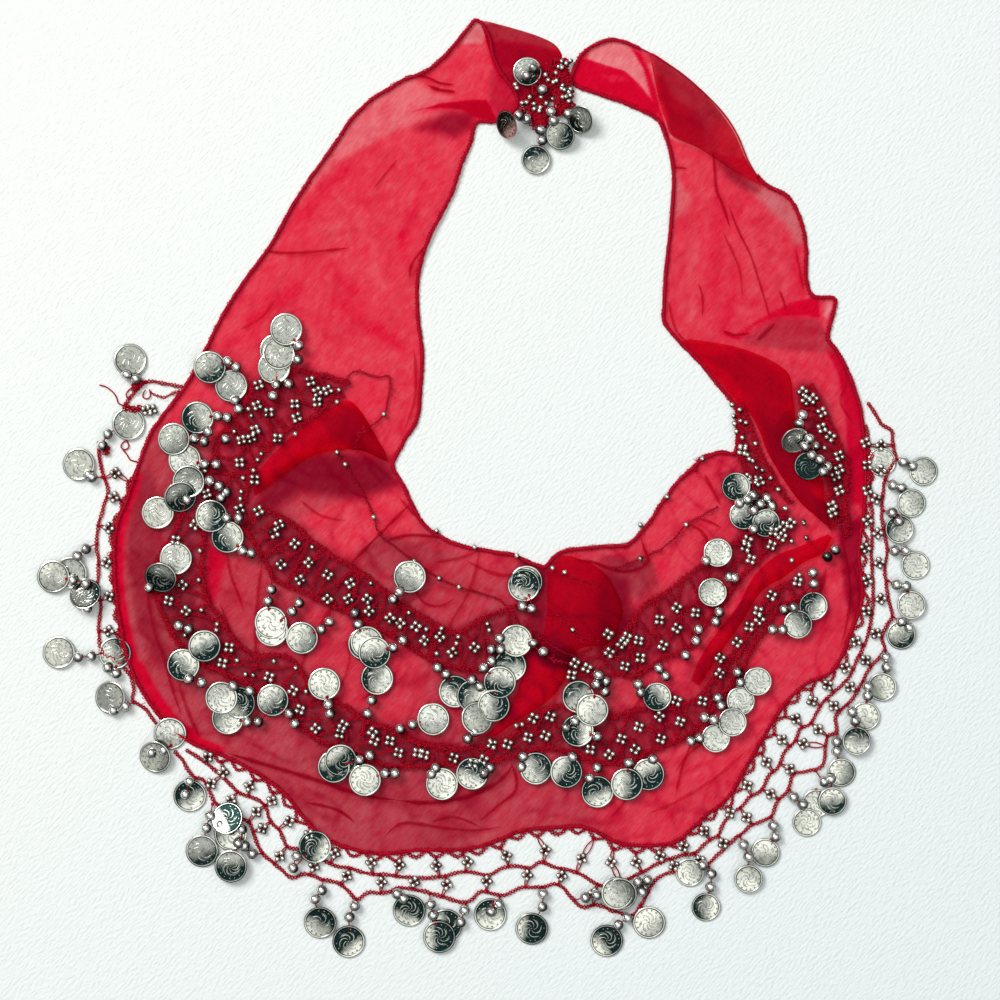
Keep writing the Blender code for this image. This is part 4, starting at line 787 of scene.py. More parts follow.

# %% Patches and streaks of tone
# For each piece: layers of cloth, brightness, width of the soft edge, and outline of each patch. The
# brightness is painted shade below 1 and painted light above 1, and where a patch is a painted shadow its
# layers are raised to deepen it as well.
PATCHES = {
    "crescent": [
        (0.75, 0.82, 34.8, [(-220, 11), (-57, 11), (-5, -41), (88, -41), (65, -221), (-225, -221)]),
        (0.62, 0.76, 11.6, [(-230, 11), (-208, 28), (-162, 28), (-164, -41), (-185, -65), (-144, -99),
         (-109, -134), (-51, -157), (18, -160), (7, -181), (-17, -215), (-109, -210), (-225, -146)]),
        (0.85, 0.6, 5.8, [(-207, 5), (-196, 12), (-191, -7), (-192, -41), (-196, -65), (-185, -94),
         (-191, -105), (-204, -79), (-209, -47)]),
        (1, 1.0, 8.1, [(-109, -18), (-54, 8), (-40, -24), (-69, -33), (-83, -41)]),
        (0.95, 0.92, 8.1, [(-109, -65), (-40, -94), (-34, -143), (-98, -123)]),
        (0.6, 0.72, 2.9, [(-73, -35), (-61, -26), (-28, -36), (-11, -39), (-34, -43), (-51, -44),
         (-72, -52)]),
        (1.35, 0.5, 9.3, [(-134, -8), (-124, 11), (-109, 19), (-86, 22), (-60, 17), (-52, 2), (-75, -6),
         (-109, -2), (-124, -12)]),
        (1.8, 0.9, 2.9, [(-163, -37), (-156, -28), (-152, -41), (-159, -66), (-165, -68)]),
        (0.7, 0.68, 4.6, [(65, -39), (95, -43), (99, -56), (88, -65), (72, -53)]),
        (1.4, 0.5, 8.1, [(65, -45), (80, -53), (84, -76), (75, -97), (62, -94)]),
        (1.3, 0.55, 7, [(18, -41), (36, -41), (33, -88), (12, -117), (7, -99), (24, -76)]),
        (1, 1.0, 11.6, [(41, -160), (123, -152), (169, -117), (201, -88), (210, -99), (123, -198),
         (65, -189)]),
        (1.9, 0.9, 2.3, [(189, 97), (203, 65), (207, 40), (208, 17), (209, -9), (218, -9), (219, 15),
         (217, 36), (214, 54), (209, 69), (201, 83)]),
        (1.9, 0.95, 1.7, [(-204, 10), (-210, -7), (-216, -25), (-217, -53), (-214, -77), (-209, -99),
         (-200, -117), (-187, -136), (-173, -147), (-154, -155), (-153, -150), (-164, -146), (-179, -134),
         (-192, -118), (-203, -98), (-209, -76), (-212, -53), (-211, -26), (-206, -8), (-200, 8)]),
        (0.3, 1.0, 5.2, [(-109, 166), (-99, 179), (-83, 191), (-66, 202), (-51, 209), (-37, 213),
         (-23, 218), (-36, 218), (-47, 218), (-28, 224), (-21, 227), (-33, 230), (-40, 235), (-48, 238),
         (-58, 232), (-68, 226), (-80, 214), (-91, 197), (-103, 181)]),
        (0, 0.95, 1.7, [(-19, 258), (-13, 265), (-8, 272), (-4, 271), (-2, 266), (-3, 258)]),
        (1.5, 0.62, 8.1, [(-43, 209), (-25, 218), (-6, 220), (-11, 208), (-19, 204)]),
        (2.8, 0.85, 0.9, [(-44, 218), (-28, 223), (-11, 225), (-1, 225), (1, 221), (5, 213), (-6, 215),
         (-15, 220), (-28, 221), (-37, 220)]),
        (1.4, 0.85, 4.6, [(1, 243), (8, 242), (16, 230), (17, 221), (6, 214), (0, 223)]),
        (1.9, 0.85, 2.9, [(-1, 259), (3, 252), (8, 242), (11, 235), (7, 235), (2, 246)]),
        (0, 1.0, 0.9, [(57, 249), (59, 255), (65, 260), (72, 261), (80, 259), (84, 254), (88, 250),
         (91, 240), (94, 226), (88, 234), (79, 242), (69, 245)]),
        (2, 0.95, 0.9, [(46, 242), (51, 248), (57, 249), (69, 245), (79, 242), (88, 233), (98, 220),
         (97, 216), (82, 222), (65, 229), (49, 233)]),
        (1.6, 1.0, 2.3, [(64, 240), (75, 240), (83, 236), (72, 235)]),
        (2, 0.95, 0.9, [(83, 255), (88, 252), (93, 242), (99, 222), (105, 202), (101, 209), (97, 220),
         (93, 230), (90, 243)]),
        (0, 1.0, 1.2, [(93, 245), (95, 253), (117, 236), (134, 220), (145, 204), (160, 177), (149, 191),
         (123, 196), (105, 203), (99, 222)]),
        (0.1, 0.88, 7, [(147, 179), (160, 175), (174, 168), (181, 155), (183, 143), (179, 142), (172, 153),
         (160, 164)]),
        (0.35, 0.95, 4.6, [(108, 184), (107, 167), (106, 153), (112, 159), (118, 167)]),
        (1.1, 0.6, 7, [(133, 189), (143, 185), (155, 175), (157, 172), (149, 173), (139, 180)]),
        (2, 0.98, 0.9, [(191, 111), (186, 110), (175, 108), (157, 98), (143, 89), (135, 90), (145, 86),
         (153, 94), (166, 99), (181, 101), (192, 99)]),
        (1, 0.8, 3.5, [(181, 99), (192, 98), (200, 79), (175, 80), (146, 84), (155, 92), (166, 98)]),
        (0, 1.0, 1.2, [(196, 109), (199, 109), (199, 104), (196, 99), (194, 100)]),
        (1.5, 0.66, 4.1, [(203, -17), (217, -18), (218, -41), (217, -65), (211, -77), (207, -65),
         (204, -41)]),
    ],
    "tie_left_turn": [
        (0.5, 0.86, 3.5, [(-5, 273), (30, 266), (47, 254), (35, 255), (18, 258), (-3, 260)]),
        (1.8, 0.84, 4.1, [(-3, 260), (18, 258), (35, 255), (47, 252), (41, 240), (18, 242), (7, 243)]),
        (1.5, 0.8, 2.9, [(7, 243), (24, 240), (30, 228), (15, 225)]),
    ],
    "tie_right_turn": [
        (-0.4, 0.86, 1.7, [(88, 254), (123, 237), (163, 173), (123, 191), (99, 220)]),
        (1.4, 0.88, 3.5, [(94, 238), (101, 239), (106, 226), (115, 221), (123, 213), (126, 196),
         (117, 196), (104, 203), (98, 221)]),
        (0.3, 0.95, 4.6, [(132, 215), (142, 206), (153, 189), (160, 174), (146, 181), (134, 191),
         (125, 195)]),
        (1.5, 1.0, 1.2, [(93, 251), (95, 246), (101, 226), (104, 214), (102, 214), (97, 231)]),
    ],
    "fold_left": [
        (2.3, 0.92, 4.6, [(-83, 47), (-75, 47), (-56, 19), (-61, 11), (-72, 19), (-80, 19)]),
        (1.7, 1.1, 4.6, [(-131, 11), (-109, 21), (-83, 25), (-83, 17), (-109, 12), (-133, -7)]),
        (2.2, 0.86, 5.2, [(-97, 42), (-80, 47), (-66, 34), (-79, 25), (-92, 27)]),
    ],
    "fold_centre": [
        (1.5, 1.05, 5.8, [(-5, -149), (24, -97), (39, -97), (54, -94), (48, -126), (18, -149)]),
        (2.3, 0.95, 8.1, [(58, -59), (65, -60), (72, -70), (67, -88), (47, -93), (41, -85)]),
        (1.5, 0.55, 3.5, [(26, -95), (35, -89), (50, -95), (66, -99), (61, -111), (43, -104), (31, -102)]),
    ],
    "fold_right": [
        (2.3, 0.84, 7, [(153, 48), (175, 44), (189, 11), (203, -33), (184, -45), (164, 5)]),
        (2.1, 0.92, 5.8, [(123, 77), (146, 79), (169, 66), (175, 51), (163, 34), (152, 51), (140, 66)]),
        (1.4, 1.0, 4.6, [(175, 28), (188, 22), (195, -10), (181, 5)]),
    ],
}
# X and Y of both ends, then width and added layers.
STREAKS = [
    (-109, 159, -83, 185, 8.1, 0.35), (-138, 98, -115, 112, 5.2, 0.35), (-130, 109, -109, 118, 4.6, 0.3),
    (-50, 134, -50, 147, 4.1, 0.4), (-50, 147, -44, 160, 4.6, 0.35), (-44, 160, -37, 176, 4.6, 0.25),
    (-63, 92, -50, 81, 5.8, 0.4), (-89, 109, -66, 92, 7, 0.35), (-98, 150, -75, 156, 9.3, -0.2),
    (-28, 196, -19, 185, 7, -0.15), (-66, 138, -63, 115, 7, -0.2), (-150, 86, -133, 92, 4.6, 0.25),
    (-22, 243, -11, 249, 3.5, 0.3), (-83, 144, -68, 153, 5.8, -0.12), (-109, 92, -92, 80, 8.1, -0.12),
    (-80, 118, -73, 109, 5.8, 0.2), (-92, 131, -80, 115, 5.2, 0.25), (134, 167, 130, 109, 7.5, 0.3),
    (117, 150, 117, 98, 5.8, -0.2), (151, 150, 155, 115, 4.6, -0.2), (166, 150, 172, 115, 4.6, -0.15),
    (144, 127, 137, 92, 5.8, 0.35), (178, 138, 181, 115, 4.1, 0.3), (-54, -105, -75, -123, 5.2, 0.3),
    (101, -41, 88, -65, 3.5, 0.3), (41, -88, 50, -123, 3.5, 0.4), (181, -117, 163, -134, 3.5, -0.1),
    (76, -157, 123, -149, 4.6, -0.1), (-208, -65, -202, -99, 3.5, -0.3), (-34, -123, -11, -117, 3.5, 0.25),
    (-75, -7, -92, -30, 5.8, -0.15), (123, 5, 111, -18, 4.6, -0.1), (-5, -99, -34, -134, 4.6, 0.3),
]
print("patches:", sum(len(rows) for rows in PATCHES.values()), "streaks:", len(STREAKS))

# %% Tones
LACE_SHADE = 0.73
LACE_PATCH = 7.0
LACE_SHADE_EDGE = 9.0
SHADE_REACH = 6.0
CLUSTER_SHADE = 0.28
CRUMPLE_LAYERS = 0.45
CRUMPLE_SHADE = 0.14


def inside_by(x, y, corners):
    """How far places lie inside an outline, in millimetres, and below zero outside it."""
    corners = np.asarray(corners, float)
    inside = np.zeros(x.shape, bool)
    away = np.full(x.shape, np.inf)
    for (ax, ay), (bx, by) in zip(corners, np.roll(corners, -1, axis=0)):
        crosses = (ay > y) != (by > y)
        inside ^= crosses & (x < (bx - ax) * (y - ay) / (by - ay if by != ay else 1e-9) + ax)
        away = np.minimum(away, beside(x, y, ax, ay, bx, by)[1])
    return np.where(inside, away, -away)


def lace_tones(x, y, layers, shade):
    """Adds the shade under the lace, and the streaks where the cloth is gathered or stretched."""
    for _, rows in BANDS.values():
        table = np.asarray(rows, float)
        outline = np.vstack([table[:, 0:2], table[::-1, 2:4]])
        share = np.clip(0.5 + inside_by(x, y, outline) / LACE_SHADE_EDGE, 0, 1)
        uneven = 1 + 1.1 * soft_noise(x, y, LACE_PATCH, 14)
        shade *= 1 - (1 - LACE_SHADE) * share * np.clip(uneven, 0.1, 2.0)
    for u, v in LACE_CLUSTERS:
        shade *= 1 - CLUSTER_SHADE * np.exp(-((x - u) ** 2 + (y - v) ** 2) / SHADE_REACH ** 2)
    for *ends, width, more in STREAKS:
        away = beside(x, y, *ends)[1] / width
        layers += more * np.exp(-(away * 1.6) ** 2)


def tones(piece, x, y, closeness):
    """How many layers' worth of thread light meets at places of a piece, and how bright the place is."""
    layers = np.full(x.shape, float(closeness))
    shade = np.ones(x.shape)
    for patch_layers, patch_shade, soft, outline in PATCHES.get(piece, []):
        share = np.clip(0.5 + inside_by(x, y, outline) / soft, 0, 1)
        share = share * share * (3 - 2 * share)
        layers += (patch_layers - layers) * share
        shade += (patch_shade - shade) * share
    if piece == "crescent":
        lace_tones(x, y, layers, shade)
    calm = np.clip((60 - y) / 50, 0.3, 1)
    for seed in (21, 22, 23):
        crumple = np.clip(1 - 7 * np.abs(soft_noise(x, y, 40.0, seed)), 0, 1) ** 2
        crumple = crumple * np.clip(0.4 + 2 * soft_noise(x, y, 60.0, seed + 10), 0, 1)
        layers += CRUMPLE_LAYERS * crumple * calm
        shade *= 1 - CRUMPLE_SHADE * crumple * calm
    layers += 0.14 * soft_noise(x, y, 30.0, 7) + 0.10 * soft_noise(x, y, 8.0, 8)
    shade *= 1 - 0.05 * np.clip(soft_noise(x, y, 20.0, 9) + soft_noise(x, y, 7.0, 10), 0, 2)
    return 0.25 + 0.25 * layers, shade


print("cloth under lace is", LACE_SHADE, "as bright as bare cloth")

# %% Lay the crescent
ROW_STEPS = 9
ACROSS = 90


def lay_crescent():
    """The sheet, lofted through its sections; its rows give both of its edges."""
    rows = smooth_line(CRESCENT, ROW_STEPS)
    t = np.linspace(0, 1, ACROSS + 1)[None, :]
    x = rows[:, 2:3] + (rows[:, 0:1] - rows[:, 2:3]) * t
    y = rows[:, 3:4] + (rows[:, 1:2] - rows[:, 3:4]) * t
    heap = Heap()
    heap.add_grid(x, y, sheet_height(x, y), *tones("crescent", x, y, 1.0))
    return rows, heap.object("chiffon_crescent", CHIFFON, "chiffon")


EDGES, crescent = lay_crescent()
print("rows of the sheet:", len(EDGES))

# %% Press narrow creases
TUCK_RISE = 0.35
TUCK_SHADE = 0.42
TUCK_COLUMNS = [-1.0, -0.45, 0.0, 0.45, 1.0]
# Width, layers and path of each.
TUCKS = [
    (2, 0.8, [(-131.5, 138), (-118, 136.5), (-102.5, 137), (-80.5, 139.5)]),
    (2, 0.9, [(-45.5, 121), (-45, 128), (-41, 135), (-34, 142.5)]),
    (1.7, 0.9, [(-42.5, 240), (-35, 238), (-28, 235), (-19.5, 234)]),
    (2.3, 1.0, [(-35, 233.5), (-28, 231), (-19, 230)]),
    (1.7, 0.6, [(-66, 174.5), (-59.5, 182.5), (-52.5, 190.5)]),
    (2, 0.8, [(130, 196.5), (131, 184.5), (132, 173), (135.5, 164.5), (140, 151)]),
    (1.5, 0.7, [(139, 164.5), (144.5, 150), (151.5, 135.5), (156.5, 121), (160.5, 108), (163.5, 96.5)]),
    (1.5, 0.5, [(135.5, 149), (142, 135.5), (146, 124), (147, 109.5)]),
    (1.7, 0.8, [(105.5, 185.5), (109.5, 186), (115.5, 185.5)]),
    (1.7, 0.6, [(121.5, 119), (124, 110.5), (124, 100)]),
    (1.7, 0.7, [(168.5, 115), (171, 108.5), (172, 102.5)]),
    (2, 0.9, [(135.5, 91.5), (143, 89), (151.5, 90)]), (2.6, 0.8, [(155.5, 85.5), (161, 91), (166, 96)]),
    (1.7, 0.5, [(178, 138.5), (180.5, 125.5), (182.5, 114)]),
    (2.3, 0.6, [(-197, -41.5), (-197, -64.5), (-193, -85), (-189, -95), (-183, -117), (-178, -131.5)]),
    (2.3, 0.5, [(-180, -111), (-174.5, -128.5), (-167.5, -144.5)]),
    (1.7, 0.8, [(-155.5, -66.5), (-150, -81), (-144.5, -91), (-138.5, -96.5)]),
    (1.7, 0.5, [(-151.5, -37), (-149.5, -50), (-144, -64.5), (-142, -71.5)]),
    (2.3, 0.6, [(-131, -41.5), (-133.5, -60), (-135, -82), (-134.5, -98.5), (-132, -108.5)]),
    (1.7, 0.4, [(-109.5, -41.5), (-115, -50), (-116.5, -59)]),
    (2, 1.0, [(-44.5, -8), (-53.5, -17), (-63, -26.5), (-72, -35.5), (-80.5, -44.5)]),
    (2, 0.9, [(-60.5, -30.5), (-49.5, -27.5), (-39.5, -27), (-27, -28.5)]),
    (2, 0.4, [(-51.5, -5.5), (-44.5, -13.5), (-37.5, -20.5)]),
    (2.3, 0.5, [(-5, -35.5), (-8, -50), (-13, -63), (-21, -76.5), (-26, -88)]),
    (1.7, 0.6, [(-44, -56.5), (-37.5, -66), (-28, -68), (-19, -63.5)]),
    (2.6, 0.6, [(-88, -63.5), (-96.5, -77.5), (-103.5, -91), (-110.5, -107.5)]),
    (2, 0.5, [(-30.5, -42.5), (-17.5, -40.5), (-5, -36)]),
    (1.7, 0.4, [(-83, -88), (-80.5, -99.5), (-86, -117)]),
    (2.3, 0.5, [(-51.5, -104), (-60, -113.5), (-74.5, -122.5)]),
    (2, 0.5, [(-37, -96.5), (-25, -104), (-28, -117)]),
    (2.9, 1.0, [(-152, -153), (-135.5, -158), (-115, -164), (-99, -169), (-83, -174.5), (-67.5, -178.5),
     (-51.5, -180.5)]),
    (2.9, 1.0, [(-53.5, -180.5), (-37, -182), (-21, -180.5), (-5, -176), (8, -168), (15, -158.5)]),
    (2, 0.8, [(-106, -182), (-95, -184), (-86, -187), (-77.5, -193.5)]),
    (2, 0.7, [(-61, -202.5), (-51.5, -194.5), (-39.5, -194.5), (-27, -196.5), (-8, -198), (8, -196)]),
    (1.7, 0.6, [(-34, -193.5), (-23.5, -190.5), (-15, -191.5), (-5, -196)]),
    (2, 0.8, [(13, -158.5), (16, -168), (15, -176), (6.5, -183), (-6, -193.5)]),
    (2, 0.7, [(118, -147), (113.5, -157.5), (111, -166), (108.5, -178)]),
    (1.7, 0.5, [(108.5, -163.5), (117, -153), (129.5, -144.5)]),
    (2.3, 0.4, [(150.5, -150.5), (137, -163.5), (122.5, -173.5), (106.5, -182.5), (91, -189)]),
    (2, 0.6, [(89, -168), (83, -175), (77.5, -183.5), (70.5, -191)]),
    (2.3, 0.9, [(88, -27), (90, -34.5), (92.5, -41.5), (88, -46), (79, -48), (69.5, -46), (60, -42.5),
     (49.5, -41.5)]),
    (2, 0.6, [(115.5, -20.5), (122.5, -24), (126.5, -30), (127.5, -37.5)]),
    (1.7, 0.6, [(121.5, -17.5), (127.5, -19), (134.5, -22.5)]),
    (2.3, 0.5, [(125, 8.5), (129, 0.5), (134.5, -9.5)]),
    (2, 0.7, [(205, -30), (208, -44.5), (209.5, -62), (207.5, -79), (204, -91)]),
    (2.6, 0.5, [(196, -44.5), (192.5, -60), (187.5, -77.5)]),
    (2.3, 0.6, [(92.5, -115.5), (85.5, -125.5), (78.5, -135.5)]),
    (2.3, 0.5, [(41.5, -88), (47.5, -105.5), (51, -124)]),
    (2.3, 0.4, [(-13.5, -41.5), (6.5, -50), (30, -48.5)]),
    (1.7, 0.5, [(202.5, 80.5), (207.5, 63), (204, 50), (211.5, 37.5)]),
    (2.3, 0.5, [(211, -41.5), (214.5, -64.5), (209.5, -85.5)]),
    (2.3, 0.4, [(117, -64.5), (104, -82), (88, -96.5)]),
    (1.7, 0.4, [(-109.5, -6.5), (-97.5, -15.5), (-83, -18.5)]),
    (2, 0.5, [(-48.5, 34), (-42.5, 54), (-43, 80.5)]), (1.7, 0.5, [(104, 109.5), (108.5, 92), (117, 83)]),
    (1.7, 0.4, [(-92, 10.5), (-80.5, -1), (-67.5, -6.5)]),
    (1.7, 0.45, [(-124, 109.5), (-131.5, 99), (-144, 92)]),
]


def press_tucks():
    """Narrow creases, each a sliver of cloth that lies double and tapers at both ends."""
    heap = Heap()
    across = np.array(TUCK_COLUMNS)[None, :]
    for number, (width, layers, path) in enumerate(TUCKS):
        line = even_line(smooth_line(path, 6), 1.6)
        side = sideways(line)
        run = np.linspace(0, 1, len(line))
        uneven = 1 + 0.4 * soft_noise(*line.T, 9.0, number)
        half = (0.5 * width * np.clip(np.sin(pi * run) * 2.2, 0.05, 1) * uneven)[:, None]
        x = line[:, 0:1] + side[:, 0:1] * half * across
        y = line[:, 1:2] + side[:, 1:2] * half * across
        z = sheet_height(x, y) + TUCK_RISE * (1.2 - np.abs(across))
        darkening = np.broadcast_to(0.5 * layers * (1 - 0.7 * across ** 2), x.shape)
        shade = 1 - TUCK_SHADE * layers * (1 - across ** 2) + 0 * x
        heap.add_grid(x, y, z, darkening, shade)
    return heap.object("pressed_creases", CHIFFON, "chiffon")


tucks = press_tucks()
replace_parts(crescent, "tie_left", "body", "tie_right")

# %% [markdown]
# ## Folds
#
# Where the cloth turns back on itself it makes a flat pouch: an upper and a lower layer with air between,
# joined along two soft edges. Each is a ring of points lofted along the fold, with a few ripples on
# its upper layer. Light passes both layers and the cloth below, and that gives the deep red, which
# patches of painted shade and painted light vary here and there.

# %% Where the folds lie
# X and Y of the left edge, X and Y of the right edge, and height of the crown.
FOLDS = {
    "tie_left_turn": [
        (-4.5, 271, 1, 270.5, 0.3), (-2.5, 263.5, 14, 267, 1), (-0.5, 256.5, 27, 263, 1.4),
        (2, 250.5, 37, 258.5, 1.6), (5, 244, 42, 253, 1.6), (8.5, 237.5, 42.5, 248.5, 1.6),
        (12.5, 232.5, 41.5, 241.5, 1.4), (16, 227.5, 33, 232.5, 0.9), (18.5, 224, 23, 226, 0.3),
    ],
    "tie_right_turn": [
        (93, 251, 95.5, 252, 0.3), (95, 242.5, 106.5, 244.5, 0.8), (97, 232.5, 119, 234.5, 1.2),
        (100, 220.5, 132, 220.5, 1.6), (103, 211.5, 142, 206, 1.6), (106.5, 204, 149, 190.5, 1.3),
        (122.5, 196.5, 155.5, 181, 0.9), (140.5, 184.5, 158, 175, 0.3),
    ],
    "fold_left": [
        (-137, 6, -135.5, -4.5, 0.6), (-125.5, 19, -126.5, 2, 2.2), (-111, 33, -114, 12, 4),
        (-93, 45.5, -99, 20, 5.5), (-82, 51, -84.5, 22.5, 6), (-74.5, 45.5, -73.5, 22, 5.5),
        (-67, 33.5, -65, 18.5, 3.5), (-59.5, 20.5, -58.5, 15.5, 0.8),
    ],
    "fold_centre": [
        (42, -39, 48, -39, 0.8), (35, -47.5, 63, -45.5, 3), (34, -56, 71.5, -55.5, 5.5),
        (34, -68, 77, -68, 7), (33, -77, 75.5, -79, 7), (31.5, -85.5, 68.5, -89.5, 6),
        (26, -95, 51.5, -94, 5), (19.5, -109.5, 44, -110.5, 4), (15, -122.5, 35, -122.5, 3),
        (6.5, -135.5, 20, -132.5, 2), (-2, -143.5, 4, -143.5, 0.6),
    ],
    "fold_right": [
        (112, 85.5, 117, 86.5, 0.4), (126, 71, 147, 81, 1.4), (142, 52, 172, 68.5, 2),
        (150.5, 44.5, 176.5, 51.5, 2.4), (156.5, 34, 178.5, 35, 2.6), (162, 20, 184, 21, 2.6),
        (171, 5, 193, 7, 2.6), (180.5, -8, 194.5, -6.5, 2.6), (189.5, -16, 197, -16.5, 2.2),
        (194.5, -20.5, 198, -23, 0.8),
    ],
    "fold_right_return": [
        (196.5, -26.5, 199, -28.5, 0.8), (187.5, -30.5, 193.5, -37.5, 2.6), (179, -34, 182.5, -43, 2.8),
        (167.5, -38.5, 171, -51.5, 2.6), (157.5, -46.5, 160.5, -57.5, 2.4), (151, -55.5, 153, -66.5, 2.2),
        (144.5, -68, 147.5, -76.5, 2), (132, -84, 137, -91.5, 1.8), (123, -97.5, 129.5, -103, 1.4),
        (117.5, -111, 122, -114.5, 0.5),
    ],
}
print("folds:", list(FOLDS))

# %% Pouches of folded cloth
FOLD_STEPS = 10
FOLD_ACROSS = 34
FOLD_LAYERS = 1.5
UNDER_LAYER = 0.03
FOLD_GAP = 0.2
FOLD_CROWN = 1.9
FOLD_BELLY = 0.25
RIPPLE = 0.5


def pouch(name, rows, base, seed):
    """A fold as one closed thin layer, upper side crowned and lower side flat."""
    rows = smooth_line(rows, FOLD_STEPS)
    upper = np.linspace(0, 1, FOLD_ACROSS + 1)
    lower = np.linspace(1, 0.02, FOLD_ACROSS + 1)[1:]
    s = np.concatenate([upper, lower])[None, :]
    top = (np.arange(s.shape[1]) <= FOLD_ACROSS)[None, :]
    x = rows[:, 0:1] + (rows[:, 2:3] - rows[:, 0:1]) * s
    y = rows[:, 1:2] + (rows[:, 3:4] - rows[:, 1:2]) * s
    arch = np.sin(pi * np.clip(s, 0, 1)) ** 0.7
    run = np.linspace(0, 1, len(rows))[:, None]
    ends = np.clip(np.sin(pi * run), 0, 1) ** 0.4
    waves = RIPPLE * soft_noise(x, y, 16.0, seed) * arch * ends
    z = base + FOLD_GAP + np.where(top, (FOLD_CROWN + rows[:, 4:5]) * arch + waves, FOLD_BELLY * arch)
    darkening, shade = tones(name, x, y, FOLD_LAYERS)
    heap = Heap()
    heap.add_grid(x, y, z, np.where(top, darkening, UNDER_LAYER), shade)
    made = heap.object(name + "_cloth", CHIFFON, "chiffon")
    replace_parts(made, name)
    return made


folds = {}
for number, (name, rows) in enumerate(FOLDS.items()):
    folds[name] = pouch(name, rows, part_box(name)[0][2] / MM, 20 + number)

# %% [markdown]
# ## Crocheted chains
#
# A crocheted chain is one thread drawn through its own loops, so two plies cross over and over. Two thin
# tubes that swing across each other once a stitch give that look at a small cost, and a slow
# wander keeps the line from looking drawn with a ruler.

# %% Chains and links
PLY = 0.46
PLY_RISE = 0.3
CHAIN_STITCH = 3.8
SWING = 0.95
LINK_HEIGHT = 0.9
LINK_RADIUS = 0.36
LOOP_POINTS = 5


def chain(heap, line, height, seed, lie=True, size=1.0):
    """A crocheted chain along a line, on the cloth or, if it doesn't lie there, over the floor."""
    line = even_line(line, CHAIN_STITCH / 4)
    x, y = line.T
    sway = 0.5 * soft_noise(x, y, 8.0, seed)
    z = (ground(x, y) if lie else 0.0) + height
    run = np.arange(len(line)) * 2 * pi / 4 + 0.7 * soft_noise(x, y, 9.0, seed + 3)
    loose = 1 + 0.6 * soft_noise(x, y, 7.0, seed + 4)
    for ply in (0.0, pi):
        side = sway + size * SWING * loose * np.sin(run + ply)
        rise = PLY_RISE * np.cos(run * 0.5 + ply)
        tube(heap, np.column_stack([line + sideways(line) * side[:, None], z + rise]), PLY * size)


def coil(heap, line, height, swing, pitch, seed, radius=0.3):
    """Loops of thread worked over and over along a line, which lies on the cloth or brings its heights."""
    line = even_line(line, pitch / LOOP_POINTS)
    x, y = line[:, 0], line[:, 1]
    uneven = 1 + 0.45 * soft_noise(x, y, 5.0, seed)
    run = np.arange(len(line)) * 2 * pi / LOOP_POINTS + 0.8 * soft_noise(x, y, 6.0, seed + 1)
    side = (swing * uneven * np.sin(run))[:, None]
    ahead = (0.45 * pitch * np.cos(run))[:, None]
    low = line[:, 2] if line.shape[1] == 3 else ground(x, y)
    flat = line[:, :2] + directions(line[:, :2]) * ahead + sideways(line) * side
    tube(heap, np.column_stack([flat, low + height + 0.35 * np.cos(run * 0.5)]), radius)


def link(heap, start, end, sag):
    """A short thread between two places, bowed a little to one side."""
    start, end = np.asarray(start, float), np.asarray(end, float)
    t = np.linspace(0, 1, 6)[:, None]
    side = np.array([start[1] - end[1], end[0] - start[0]])
    tube(heap, lift(start + (end - start) * t + side * sag * np.sin(pi * t), LINK_HEIGHT), LINK_RADIUS)


print("chains: a stitch is", CHAIN_STITCH, "mm long")

# %% [markdown]
# ## Overlocked hem
#
# An overlock wraps the cut edge in thread, so the hem reads as a dark, ribbed cord. A soft tube gives
# its body, and loops of thread worked over it give the stitches. Where the cloth is turned over, its edge is
# a bare fold, and the line there is thin.

# %% Hem
HEM_RADIUS = 0.85
FOLD_RADIUS = 0.4
OVERLOCK_PITCH = 1.9
OVERLOCK_SWING = 1.3
OVERLOCK_THREAD = 0.36
TURNED_FROM = (87.5, 255.5)
TURNED_TO = (156.0, 181.5)


def sew_hems():
    """The overlocked hem, and the thin bare edge where a tie is turned over."""
    heap = Heap()
    inner, outer = EDGES[:, 0:2], EDGES[:, 2:4]
    bare = part_of(outer, TURNED_FROM, TURNED_TO)
    first, last = nearest_number(outer, *bare[0]), nearest_number(outer, *bare[-1])
    sewn = np.vstack([outer[last:], inner[::-1], outer[:first + 1]])
    for line, radius in ((sewn, HEM_RADIUS), (bare, FOLD_RADIUS)):
        x, y = even_line(line, 0.9).T
        wobble = 0.2 * soft_noise(x, y, 6.0, 11)
        spots = np.column_stack([x + wobble, y - wobble, SHEET_TOP + crease_rise(x, y, CREASES)])
        tube(heap, spots, radius, sides=5)
        if radius == HEM_RADIUS:
            coil(heap, spots, 0.0, OVERLOCK_SWING, OVERLOCK_PITCH, 12, OVERLOCK_THREAD)
    return heap.object("overlocked_hem", HEM_RED, "thread")


hem_cord = sew_hems()

# %% [markdown]
# ## Beads
#
# The seed beads are sewn in fours, two by two, between the chains. The large ones hang in pairs above each
# coin. Each is a turned ball, drawn in at its hole, and it is stamped wherever the tables say.

# %% Beads
SEED_RADIUS = 1.65
LARGE_RADIUS = 3.25
LIT_FROM = np.array([-0.3, 0.3, 0.906])
CLUSTER_SPREAD = 2.15
CLUSTER_REACH = 3.0
CLUSTER_THREAD = 0.22
bead_dice = np.random.default_rng(29)


def ball(columns, rows):
    """Points and faces of a ball of radius 1 whose axis is X, with dimples for its hole."""
    lean = np.linspace(0, pi, rows + 1)[1:-1][:, None]
    turn = (np.arange(columns) * 2 * pi / columns)[None, :]
    x = np.broadcast_to(0.92 * np.cos(lean), (rows - 1, columns))
    y, z = np.sin(lean) * np.cos(turn), np.sin(lean) * np.sin(turn)
    points = np.vstack([np.stack([x, y, z], axis=-1).reshape(-1, 3), (0.80, 0, 0), (-0.80, 0, 0)])
    near = fan_faces(len(points) - 2, 0, columns)
    far = fan_faces(len(points) - 1, (rows - 2) * columns, columns, far_end=True)
    return points, np.vstack([ring_faces(rows - 1, columns), near, far])


LARGE_BALL, SEED_BALL = ball(12, 8), ball(8, 6)


